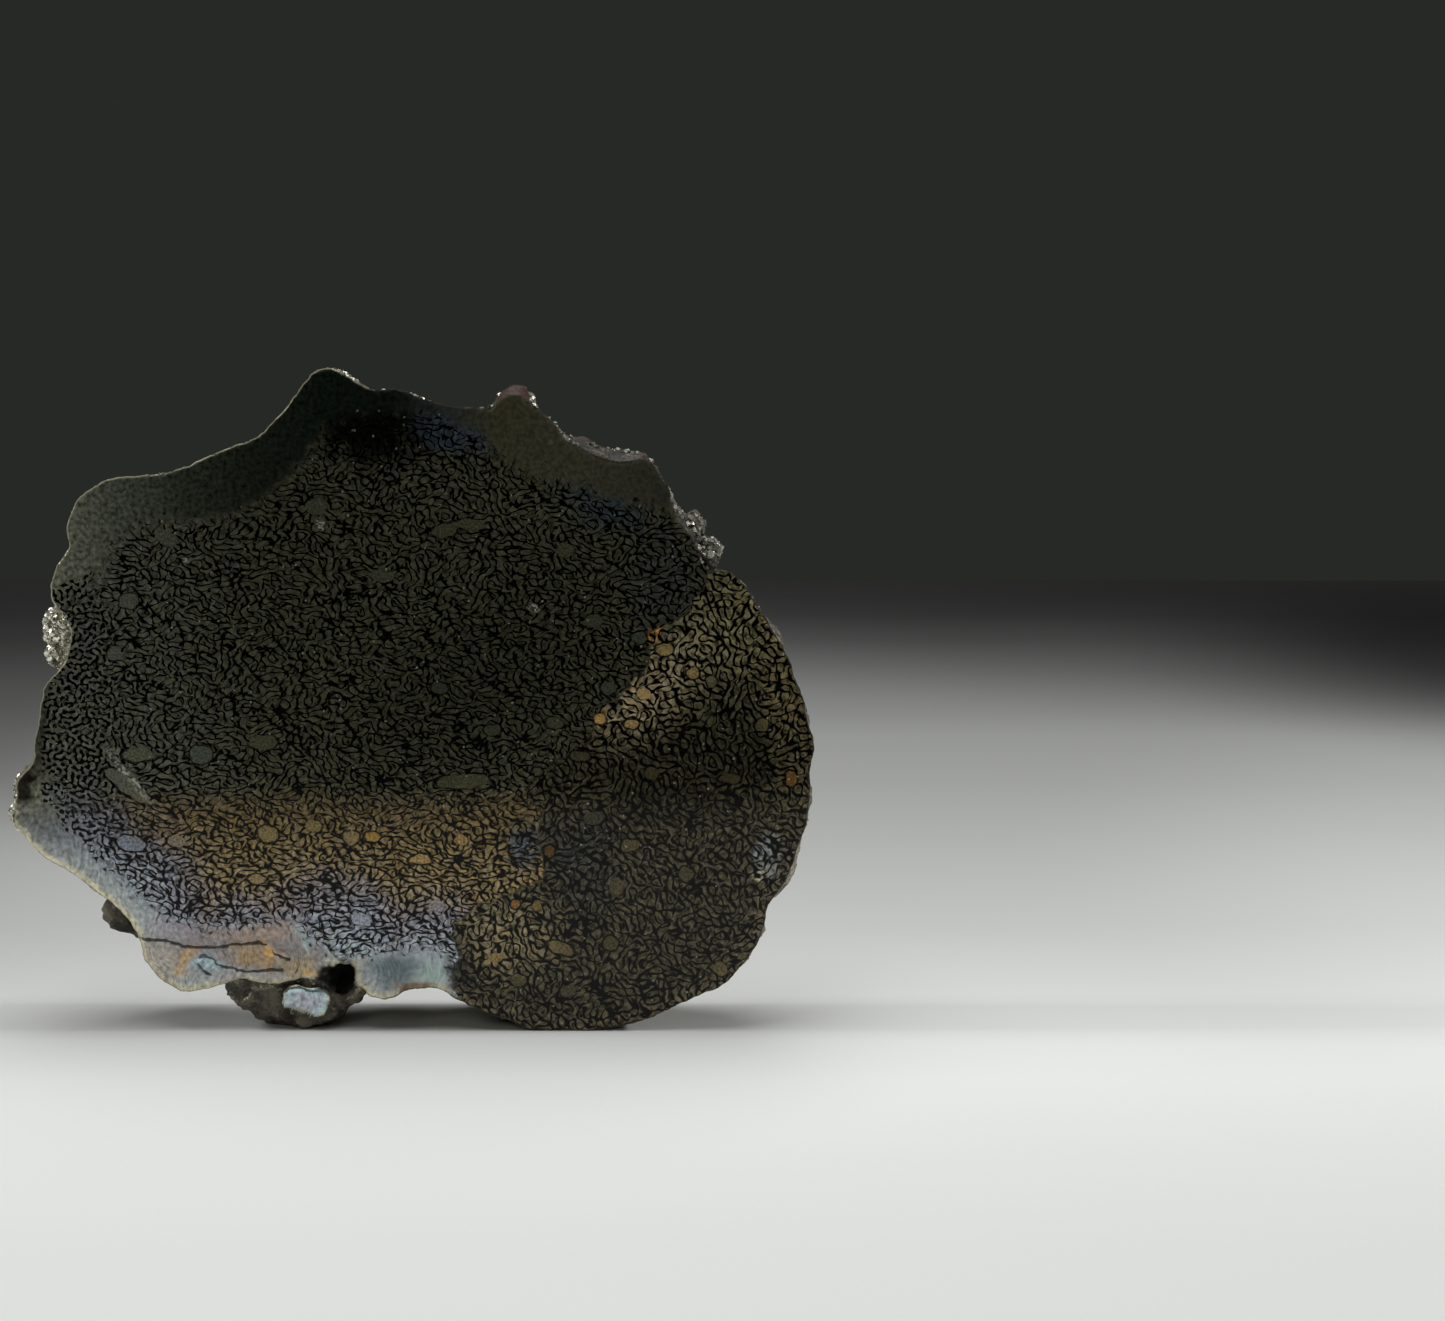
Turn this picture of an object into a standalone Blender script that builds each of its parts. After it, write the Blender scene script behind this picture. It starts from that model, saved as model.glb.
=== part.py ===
"""Slab of pliosaur bone that pyrite has replaced, sawn flat on two faces and standing on its own rim.

The polished face looks along -Y, +X runs to its right and +Z is up. The origin is on the surface
that the slab stands on, at the middle of the slab's bounding box. Sizes below are in millimetres.
While the shape is made, the polished face lies at depth 0 and depth grows into the slab.
"""

import math

import bmesh
import bpy
from mathutils import Vector, noise

MM = 0.001

# The slab between its two saw cuts
THICKNESS = 18.0
RIM_STEP = 1.6
RIM_DEPTHS = (0.0, 0.6, 1.8, 3.6, 5.6, 7.8, 10.0, 12.2, 14.4, 16.6, THICKNESS)
FLARE_DEPTH = 2.4
BACK_ROUNDING = 0.5

# The broken and crusted rim: (wavelength, height) of each order of unevenness, the rounded pyrite
# domes that cover it, and how its outline drifts from the polished face to the back
EDGE_RAGGEDNESS = ((6.0, 0.45), (2.6, 0.30))
RIM_LUMPS = ((7.0, 0.9), (3.0, 0.4))
RIM_RECESS = 1.3
DOME_SPACING = 8.0
DOME_HEIGHT = 1.7
DOME_REACH = 0.75
BACK_DRIFT = ((38.0, 4.5),)

# The photo looks down on the upper edge and shows the crust behind it only where the edge flares, so
# from CREST_START up the rim drops away towards the back, and its height past the edge is the flare's
CREST_START = 62.0
CREST_FADE = 14.0
CREST_SLACK = 6.0
CREST_FLARE = 1.25
CREST_TUCK = 0.8
CREST_SLOPE = 0.09
NORMAL_REACH = 2
SPAN_STEPS = 8

# Edge of the polished face, clockwise from the nodule on its left side: (x, height, flare). The flare
# is how far the natural crust behind the edge stands out past it.
UPPER_LEFT_EDGE = (
    (-61.6, 77.2, 0.5), (-62.3, 80.2, 0.6), (-60.8, 84.7, 0.5), (-58.8, 87.2, 1.1), (-59.1, 91.0, 1.3),
    (-57.5, 95.0, 0.4), (-54.8, 97.4, 0.3), (-52.0, 99.0, 0.3), (-47.0, 99.6, 0.3), (-40.5, 100.4, 0.3),
    (-34.0, 103.2, 0.3), (-28.2, 105.4, 0.3), (-24.6, 107.3, 0.3), (-20.6, 111.1, 0.3), (-17.3, 115.6, 0.4),
)
TOP_EDGE = (
    (-14.9, 118.0, 0.4), (-11.8, 118.2, 0.4), (-8.2, 116.0, 0.4), (-5.2, 114.7, 0.3), (-1.2, 114.9, 0.3),
    (3.7, 113.0, 0.3), (7.6, 112.1, 0.2), (12.1, 111.6, 0.2), (15.0, 111.6, 0.5), (16.4, 113.3, 1.7),
    (19.5, 113.9, 2.0), (21.8, 112.5, 1.2), (24.4, 110.5, 0.4), (26.6, 108.2, 0.5),
)
UPPER_RIGHT_EDGE = (
    (28.4, 105.9, 1.2), (30.8, 104.8, 2.1), (34.2, 102.7, 2.2), (38.3, 102.1, 2.1), (41.6, 102.9, 1.2),
    (44.5, 100.4, 0.5), (45.9, 97.0, 0.5), (46.7, 94.1, 1.2), (48.2, 91.2, 1.8), (49.7, 89.0, 1.6),
    (51.0, 86.8, 1.4), (51.6, 84.6, 0.9), (53.2, 83.1, 0.3),
)
RIGHT_LOBE_EDGE = (
    (55.5, 83.2, 0.3), (57.9, 82.2, 0.3), (61.7, 76.8, 0.3), (64.4, 72.2, 0.3), (66.9, 67.6, 0.3),
    (68.9, 61.6, 0.2), (70.6, 56.0, 0.2), (71.4, 51.5, 0.2), (70.9, 46.5, 0.2), (70.5, 40.0, 0.2),
    (69.2, 35.0, 0.2), (68.0, 31.0, 0.3), (66.3, 27.8, 0.7), (64.8, 25.2, 0.7), (63.3, 22.4, 0.2),
    (62.1, 17.0, 0.2), (59.6, 13.0, 0.2), (56.0, 8.5, 0.2), (51.5, 6.9, 0.2), (46.5, 4.1, 0.2),
    (41.5, 1.9, 0.3), (37.5, 1.0, 0.4), (33.0, 0.2, 0.6), (29.5, 0.0, 0.7), (25.5, 0.0, 0.7),
    (21.5, 0.3, 0.6), (16.6, 1.9, 0.4), (12.6, 3.7, 0.2), (9.1, 5.2, 0.2), (6.6, 6.5, 0.2),
)
LOWER_EDGE = (
    (5.2, 7.8, 0.2), (1.2, 7.8, 0.2), (-1.8, 7.6, 0.2), (-3.2, 6.5, 0.2), (-5.5, 5.9, 0.2),
    (-7.6, 6.5, 0.2), (-9.2, 7.8, 0.2), (-12.5, 8.7, 0.2), (-16.5, 8.9, 0.2), (-20.0, 9.5, 0.2),
    (-24.5, 8.7, 0.2), (-28.0, 9.0, 0.2), (-31.2, 9.6, 0.2), (-34.5, 8.4, 0.4), (-37.8, 7.8, 0.3),
    (-41.0, 7.3, 0.2), (-43.6, 8.2, 0.2), (-46.0, 10.4, 0.2), (-48.4, 13.6, 0.2), (-48.7, 16.2, 0.2),
)
LOWER_LEFT_EDGE = (
    (-49.6, 19.2, 0.2), (-52.0, 22.2, 0.2), (-55.2, 24.7, 0.2), (-58.9, 27.8, 0.2), (-62.1, 30.3, 0.2),
    (-65.3, 32.2, 0.2), (-68.0, 34.8, 0.3), (-70.1, 38.0, 1.0), (-70.0, 40.8, 1.5), (-69.7, 43.4, 0.9),
    (-69.3, 45.8, 0.5), (-66.2, 49.2, 0.2), (-65.9, 54.0, 0.2), (-65.1, 58.0, 0.2), (-63.9, 62.4, 0.2),
)
NODULE_BAY_EDGE = ((-62.0, 65.0, 0.3), (-60.0, 67.0, 0.3), (-59.1, 70.2, 0.3), (-59.3, 73.6, 0.3))
FACE_EDGE = (
    UPPER_LEFT_EDGE + TOP_EDGE + UPPER_RIGHT_EDGE + RIGHT_LOBE_EDGE + LOWER_EDGE + LOWER_LEFT_EDGE
    + NODULE_BAY_EDGE
)

# Foot of dark matrix under the left half, an upside-down triangle set back a little from the face.
# Its rings are (depth, how far the ring stands out past the outline).
FOOT_EDGE = (
    (-34.0, 9.4, 0.0), (-31.0, 14.0, 0.0), (-21.5, 15.6, 0.0), (-12.0, 14.0, 0.0), (-9.2, 9.6, 0.0),
    (-11.0, 6.2, 0.2), (-13.3, 4.5, 0.4), (-15.2, 2.7, 0.8), (-17.4, 0.9, 1.2), (-20.4, -0.2, 1.4),
    (-23.6, 1.4, 1.7), (-26.8, 3.6, 2.4), (-29.6, 4.9, 1.8), (-32.6, 6.2, 0.8),
)
FOOT_STEP = 1.3
FOOT_RINGS = (
    (0.9, -0.6), (1.6, 0.0), (3.0, 0.4), (4.8, 0.9), (6.8, 1.0), (8.8, 1.0), (10.8, 0.8), (12.4, 0.0),
    (13.4, -1.8),
)
FOOT_LUMPS = ((5.0, 1.5), (2.3, 0.7))
FOOT_FACE_SHARES = (0.4, 0.7)
FOOT_FACE_RELIEF = 0.5

# Lumps grown on the rim: (name, (x, depth, height) of the middle, radii along the same axes)
MATRIX_LUMPS = (
    ("left_knob", (-52.7, 7.0, 20.4), (3.6, 5.2, 3.5)),
    ("knob_neck", (-49.0, 6.6, 17.4), (2.4, 3.8, 2.2)),
)
PYRITE_LUMPS = (
    ("edge_nodule_upper", (-61.2, 4.2, 72.6), (3.2, 3.6, 3.9)),
    ("edge_nodule_lower", (-62.0, 3.7, 67.6), (2.4, 3.1, 2.5)),
    ("crust_nodule_low", (52.4, 5.2, 85.8), (2.6, 4.2, 2.8)),
    ("crust_nodule_high", (50.0, 5.6, 90.0), (2.1, 4.2, 2.6)),
)
LUMP_FINENESS = 3
LUMP_ROUGHNESS = ((5.0, 0.26), (2.2, 0.30))

# Small polished island on the foot, in the plane of the face: (x, height)
ISLAND_EDGE = (
    (-23.0, 4.4), (-23.2, 7.2), (-21.4, 8.5), (-18.6, 7.9), (-16.3, 8.0),
    (-15.0, 6.4), (-15.5, 4.0), (-17.2, 2.6), (-19.4, 3.0), (-21.0, 3.8),
)
ISLAND_DEPTH = 4.0
ISLAND_FINENESS = 4

# Open pit in the lower edge of the face
PIT_MIDDLE = (-12.9, 0.4, 9.5)
PIT_RADII = (2.8, 5.4, 2.9)

# The surface that the slab stands on cuts its feet flat
GROUND_REACH = 90.0
GROUND_DEPTH = 20.0


def clear_scene():
    """Remove every object of the startup scene."""
    for obj in list(bpy.data.objects):
        bpy.data.objects.remove(obj)


def make_collection(name):
    """Add a collection to the scene."""
    collection = bpy.data.collections.new(name)
    bpy.context.scene.collection.children.link(collection)
    return collection


def make_material(name, colour, roughness, metallic):
    """Make a Principled material."""
    material = bpy.data.materials.new(name)
    material.use_nodes = True
    shader = material.node_tree.nodes["Principled BSDF"]
    shader.inputs["Base Color"].default_value = (*colour, 1.0)
    shader.inputs["Roughness"].default_value = roughness
    shader.inputs["Metallic"].default_value = metallic
    return material


def spline_through(before, start, end, after, t):
    """Point at share t of the Catmull-Rom span from start to end."""
    return tuple(
        0.5 * (2 * p1 + (p2 - p0) * t + (2 * p0 - 5 * p1 + 4 * p2 - p3) * t**2
               + (3 * p1 - p0 - 3 * p2 + p3) * t**3)
        for p0, p1, p2, p3 in zip(before, start, end, after)
    )


def smooth_loop(points):
    """Closed smooth curve through the points, as a dense list."""
    count = len(points)
    curve = []
    for i in range(count):
        span = [points[(i + k) % count] for k in (-1, 0, 1, 2)]
        curve += [spline_through(*span, step / SPAN_STEPS) for step in range(SPAN_STEPS)]
    return curve


def even_loop(points, step):
    """The same closed curve with its points a step apart, measured in the face's plane."""
    lengths = [math.dist(points[i][:2], points[i - 1][:2]) for i in range(len(points))]
    total = sum(lengths)
    count = round(total / step)
    even = []
    travelled = 0.0
    i = 1
    for k in range(count):
        wanted = k * total / count
        while travelled + lengths[i % len(points)] < wanted:
            travelled += lengths[i % len(points)]
            i += 1
        share = (wanted - travelled) / lengths[i % len(points)]
        start, end = points[(i - 1) % len(points)], points[i % len(points)]
        even.append(tuple(a + (b - a) * share for a, b in zip(start, end)))
    return even


def outward_normals(loop):
    """Outward direction at each point of a clockwise loop, evened out over its neighbours."""
    normals = []
    for i in range(len(loop)):
        start = loop[i - NORMAL_REACH]
        end = loop[(i + NORMAL_REACH) % len(loop)]
        normals.append(Vector((start[1] - end[1], end[0] - start[0])).normalized())
    return normals


def lumpiness(x, depth, height, orders):
    """Sum of noise of several wavelengths, each between plus and minus its height."""
    return sum(
        tall * noise.noise(Vector((x, depth, height)) / wavelength)
        for wavelength, tall in orders
    )


def dome(x, depth, height):
    """Height of the rounded pyrite domes on the rim."""
    nearest = noise.voronoi(Vector((x, depth, height)) / DOME_SPACING)[0][0]
    return DOME_HEIGHT * (1.0 - min(1.0, nearest / DOME_REACH) ** 2)


def crest_limit(height, flare, opened, depth):
    """How far the rim may stand out past the face edge at this height and depth."""
    low_share = min(1.0, max(0.0, 1.0 - (height - CREST_START) / CREST_FADE))
    crest = opened * (CREST_FLARE * flare - CREST_TUCK) - CREST_SLOPE * depth
    return crest + CREST_SLACK * low_share


def rim_offset(x, height, flare, depth):
    """How far the rim stands out past the smooth face edge at this depth."""
    ragged = lumpiness(x, 0.0, height, EDGE_RAGGEDNESS)
    if depth == 0.0:
        return ragged
    opened = min(1.0, depth / FLARE_DEPTH)
    rounded = BACK_ROUNDING if depth == THICKNESS else 0.0
    lumps = lumpiness(x, depth, height, RIM_LUMPS) + dome(x, depth, height) - RIM_RECESS
    drift = lumpiness(x, 0.0, height, BACK_DRIFT) * depth / THICKNESS
    free = opened * (flare + lumps) + drift
    return ragged + min(free, crest_limit(height, flare, opened, depth)) - rounded


def foot_offset(x, height, flare, depth):
    """How far the foot stands out past its front outline at this depth."""
    share = dict(FOOT_RINGS)[depth]
    return share + max(0.0, share) * flare + lumpiness(x, depth, height, FOOT_LUMPS)


def loft(edge, step, depths, offset_at):
    """Rings of points, one at each depth, that follow an edge and stand out from it by offset_at."""
    loop = even_loop(smooth_loop(edge), step)
    rings = []
    for depth in depths:
        ring = []
        for (x, height, flare), normal in zip(loop, outward_normals(loop)):
            offset = offset_at(x, height, flare, depth)
            ring.append(Vector((x + offset * normal.x, depth, height + offset * normal.y)))
        rings.append(ring)
    return rings


def uneven_face(ring):
    """Rings inside the foot's first one, which make its front face uneven."""
    middle = sum(ring, Vector()) / len(ring)
    inner = []
    for share in FOOT_FACE_SHARES:
        spots = [middle.lerp(point, share) for point in ring]
        for spot in spots:
            spot.y += FOOT_FACE_RELIEF * lumpiness(*spot, FOOT_LUMPS)
        inner.append(spots)
    return inner


def mesh_through(rings):
    """Closed mesh through the rings, with a cap on the first and the last."""
    mesh = bmesh.new()
    rings = [[mesh.verts.new(point * MM) for point in ring] for ring in rings]
    for near, far in zip(rings, rings[1:]):
        for i in range(len(near)):
            mesh.faces.new((near[i - 1], near[i], far[i], far[i - 1]))
    caps = [mesh.faces.new(rings[0]), mesh.faces.new(rings[-1])]
    bmesh.ops.triangulate(mesh, faces=caps)
    bmesh.ops.recalc_face_normals(mesh, faces=mesh.faces)
    return mesh


def foot_mesh():
    """Foot of dark matrix."""
    rings = loft(FOOT_EDGE, FOOT_STEP, [depth for depth, _ in FOOT_RINGS], foot_offset)
    return mesh_through(uneven_face(rings[0]) + rings)


def lump_mesh(middle, radii):
    """Rough ellipsoid."""
    mesh = bmesh.new()
    bmesh.ops.create_icosphere(mesh, subdivisions=LUMP_FINENESS, radius=1.0)
    for vert in mesh.verts:
        place = Vector(middle) + Vector([a * b for a, b in zip(vert.co, radii)])
        swell = 1.0 + lumpiness(*place, LUMP_ROUGHNESS)
        vert.co = (Vector(middle) + (place - Vector(middle)) * swell) * MM
    return mesh


def ground_mesh():
    """Block whose top is the surface that the slab stands on."""
    mesh = bmesh.new()
    bmesh.ops.create_cube(mesh, size=MM)
    bmesh.ops.scale(mesh, verts=mesh.verts, vec=(2 * GROUND_REACH, 2 * GROUND_REACH, GROUND_DEPTH))
    bmesh.ops.translate(mesh, verts=mesh.verts, vec=(0.0, 0.0, -GROUND_DEPTH / 2 * MM))
    return mesh


def add_object(name, mesh, collection, material=None):
    """Turn a bmesh into a named object."""
    data = bpy.data.meshes.new(name)
    mesh.to_mesh(data)
    mesh.free()
    obj = bpy.data.objects.new(name, data)
    collection.objects.link(obj)
    if material:
        data.materials.append(material)
    return obj


def island_mesh(collection):
    """Flat outline of the polished island, with its thickness running back into the foot."""
    curve = bpy.data.curves.new("island_outline", "CURVE")
    curve.dimensions = "2D"
    curve.fill_mode = "BOTH"
    curve.resolution_u = ISLAND_FINENESS
    curve.extrude = ISLAND_DEPTH / 2 * MM
    spline = curve.splines.new("BEZIER")
    spline.bezier_points.add(len(ISLAND_EDGE) - 1)
    for point, (x, height) in zip(spline.bezier_points, ISLAND_EDGE):
        point.co = (x * MM, height * MM, 0.0)
        point.handle_left_type = point.handle_right_type = "AUTO"
    spline.use_cyclic_u = True
    outline = bpy.data.objects.new("island_outline", curve)
    outline.rotation_euler = (math.pi / 2, 0.0, 0.0)
    outline.location = (0.0, ISLAND_DEPTH / 2 * MM, 0.0)
    collection.objects.link(outline)
    bpy.context.view_layer.update()
    graph = bpy.context.evaluated_depsgraph_get()
    mesh = bmesh.new()
    mesh.from_mesh(bpy.data.meshes.new_from_object(outline.evaluated_get(graph)))
    mesh.transform(outline.matrix_world)
    bmesh.ops.remove_doubles(mesh, verts=mesh.verts, dist=0.01 * MM)
    bmesh.ops.recalc_face_normals(mesh, faces=mesh.faces)
    bpy.data.objects.remove(outline)
    return mesh


def join_or_cut(target, tool, operation):
    """Join a helper to the target or cut it away, and keep the helper out of the render."""
    tool.hide_render = True
    tool.display_type = "WIRE"
    modifier = target.modifiers.new(f"{operation.lower()}_{tool.name}", "BOOLEAN")
    modifier.operation = operation
    modifier.solver = "EXACT"
    modifier.material_mode = "TRANSFER"
    modifier.object = tool


def settle_on_origin(slab):
    """Bake the Booleans, and move the slab so that its bounding box stands on the origin."""
    bpy.context.view_layer.update()
    graph = bpy.context.evaluated_depsgraph_get()
    mesh = bmesh.new()
    mesh.from_mesh(bpy.data.meshes.new_from_object(slab.evaluated_get(graph)))
    slab.modifiers.clear()
    bmesh.ops.triangulate(mesh, faces=mesh.faces)
    bmesh.ops.dissolve_degenerate(mesh, dist=0.02 * MM, edges=mesh.edges)
    low = Vector([min(v.co[i] for v in mesh.verts) for i in range(3)])
    high = Vector([max(v.co[i] for v in mesh.verts) for i in range(3)])
    middle = (low + high) / 2
    bmesh.ops.translate(mesh, verts=mesh.verts, vec=(-middle.x, -middle.y, -low.z))
    mesh.to_mesh(slab.data)
    mesh.free()
    slab.data.set_sharp_from_angle(angle=math.radians(35))


def build():
    """Make the slab."""
    clear_scene()
    fossil = make_collection("pliosaur_bone")
    helpers = make_collection("helpers")
    polished = make_material("polished_pyrite_bone", (0.045, 0.044, 0.038), 0.28, 0.6)
    matrix = make_material("dark_matrix", (0.022, 0.020, 0.017), 0.85, 0.0)
    crust = make_material("pyrite_crust", (0.30, 0.28, 0.22), 0.45, 0.8)

    slab_rings = loft(FACE_EDGE, RIM_STEP, RIM_DEPTHS, rim_offset)
    slab = add_object("pliosaur_bone_slab", mesh_through(slab_rings), fossil, polished)
    slab.data.materials.append(matrix)
    slab.data.materials.append(crust)
    join_or_cut(slab, add_object("foot", foot_mesh(), helpers, matrix), "UNION")
    for lumps, material in ((MATRIX_LUMPS, matrix), (PYRITE_LUMPS, crust)):
        for name, middle, radii in lumps:
            join_or_cut(slab, add_object(name, lump_mesh(middle, radii), helpers, material), "UNION")
    join_or_cut(slab, add_object("island", island_mesh(helpers), helpers, polished), "UNION")
    pit = add_object("pit", lump_mesh(PIT_MIDDLE, PIT_RADII), helpers, matrix)
    join_or_cut(slab, pit, "DIFFERENCE")
    join_or_cut(slab, add_object("ground", ground_mesh(), helpers, matrix), "DIFFERENCE")
    settle_on_origin(slab)


build()
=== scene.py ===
"""Slab of pliosaur bone that pyrite has replaced, polished on one side and standing on its own rim.

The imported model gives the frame: +X runs to the right of the polished face, the face looks along -Y
and +Z is up. Sizes below are in millimetres, and places are (x, height) on the polished face unless
they have three numbers, which are (x, y, z).
"""

from __future__ import annotations

import logging
import math
import random
from dataclasses import dataclass, field
from enum import Enum

import bmesh
import bpy
import numpy as np
from mathutils import Matrix, Vector, geometry, noise


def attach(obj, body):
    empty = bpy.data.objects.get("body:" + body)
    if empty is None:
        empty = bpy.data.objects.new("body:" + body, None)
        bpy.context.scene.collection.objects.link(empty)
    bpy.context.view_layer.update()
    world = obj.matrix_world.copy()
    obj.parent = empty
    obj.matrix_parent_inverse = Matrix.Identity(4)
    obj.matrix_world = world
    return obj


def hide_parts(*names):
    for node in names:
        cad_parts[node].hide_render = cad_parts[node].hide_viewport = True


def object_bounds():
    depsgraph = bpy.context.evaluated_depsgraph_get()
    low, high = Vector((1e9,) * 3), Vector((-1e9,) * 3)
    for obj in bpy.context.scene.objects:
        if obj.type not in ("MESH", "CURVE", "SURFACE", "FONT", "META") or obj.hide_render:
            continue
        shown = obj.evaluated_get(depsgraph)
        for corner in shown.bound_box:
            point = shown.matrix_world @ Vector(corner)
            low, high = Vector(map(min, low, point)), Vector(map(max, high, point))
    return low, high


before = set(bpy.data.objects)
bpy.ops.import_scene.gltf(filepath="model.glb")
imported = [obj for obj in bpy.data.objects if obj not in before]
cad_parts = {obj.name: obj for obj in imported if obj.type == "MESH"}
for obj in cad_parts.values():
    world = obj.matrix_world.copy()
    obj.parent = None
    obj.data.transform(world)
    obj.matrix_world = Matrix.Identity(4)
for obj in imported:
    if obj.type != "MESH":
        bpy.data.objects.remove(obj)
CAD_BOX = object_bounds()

MM = 0.001
SLAB_NODE = "pliosaur_bone_slab"
FACE_Y = -9.0
BACK_Y = 9.0
TINY = 1e-9
BATCH = 2000

Colour = tuple[float, float, float]
Place = tuple[float, float]
Point = tuple[float, float, float]


class Wire:
    """Output of a shader node, on which Python's operators add the nodes that work them out."""

    def __init__(self, graph: Graph, socket: bpy.types.NodeSocket) -> None:
        """Hold the output of a node.

        Args:
            graph: Node tree that the output belongs to.
            socket: The output itself.
        """
        self.graph = graph
        self.socket = socket

    def _join(self, operation: str, first: Wire | float, second: Wire | float) -> Wire:
        """Add the node that fits the kind of both sides.

        Args:
            operation: Name that Math, Vector Math and Mix share for it.
            first: Left side.
            second: Right side.

        Returns:
            The result.
        """
        kinds = {side.socket.type for side in (first, second) if isinstance(side, Wire)}
        if "RGBA" in kinds:
            return self.graph.blend(operation, first, second)
        kind = "ShaderNodeVectorMath" if "VECTOR" in kinds else "ShaderNodeMath"
        return self.graph.node(kind, {"operation": operation}, {0: first, 1: second})

    def __add__(self, other: Wire | float) -> Wire:
        """Add a wire or a number."""
        return self._join("ADD", self, other)

    __radd__ = __add__

    def __sub__(self, other: Wire | float) -> Wire:
        """Take a wire or a number away."""
        return self._join("SUBTRACT", self, other)

    def __rsub__(self, other: Wire | float) -> Wire:
        """Take this wire away from a number."""
        return self._join("SUBTRACT", other, self)

    def __mul__(self, other: Wire | float) -> Wire:
        """Multiply by a wire or a number."""
        return self._join("MULTIPLY", self, other)

    __rmul__ = __mul__

    def __truediv__(self, other: Wire | float) -> Wire:
        """Divide by a wire or a number."""
        return self._join("DIVIDE", self, other)

    def most(self, other: Wire | float) -> Wire:
        """Keep the larger value."""
        return self._join("MAXIMUM", self, other)

    def size(self) -> Wire:
        """Drop the sign."""
        return self.graph.node("ShaderNodeMath", {"operation": "ABSOLUTE"}, {0: self})

    def step(self, low: float | Wire, high: float | Wire, start: float = 0.0, end: float = 1.0) -> Wire:
        """Go smoothly from one value to another while this wire goes from low to high.

        Args:
            low: Where the change begins.
            high: Where it ends.
            start: Value up to low.
            end: Value from high on.

        Returns:
            The value between start and end.
        """
        return self.graph.node(
            "ShaderNodeMapRange",
            {"interpolation_type": "SMOOTHSTEP"},
            {"Value": self, "From Min": low, "From Max": high, "To Min": start, "To Max": end},
        )

    def part(self, index: int) -> Wire:
        """Take one component of a vector or colour."""
        return self.graph.node("ShaderNodeSeparateXYZ", {}, {0: self}, index)

    def beside(self, output: str) -> Wire:
        """Take another output of the same node."""
        return Wire(self.graph, self.socket.node.outputs[output])


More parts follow.
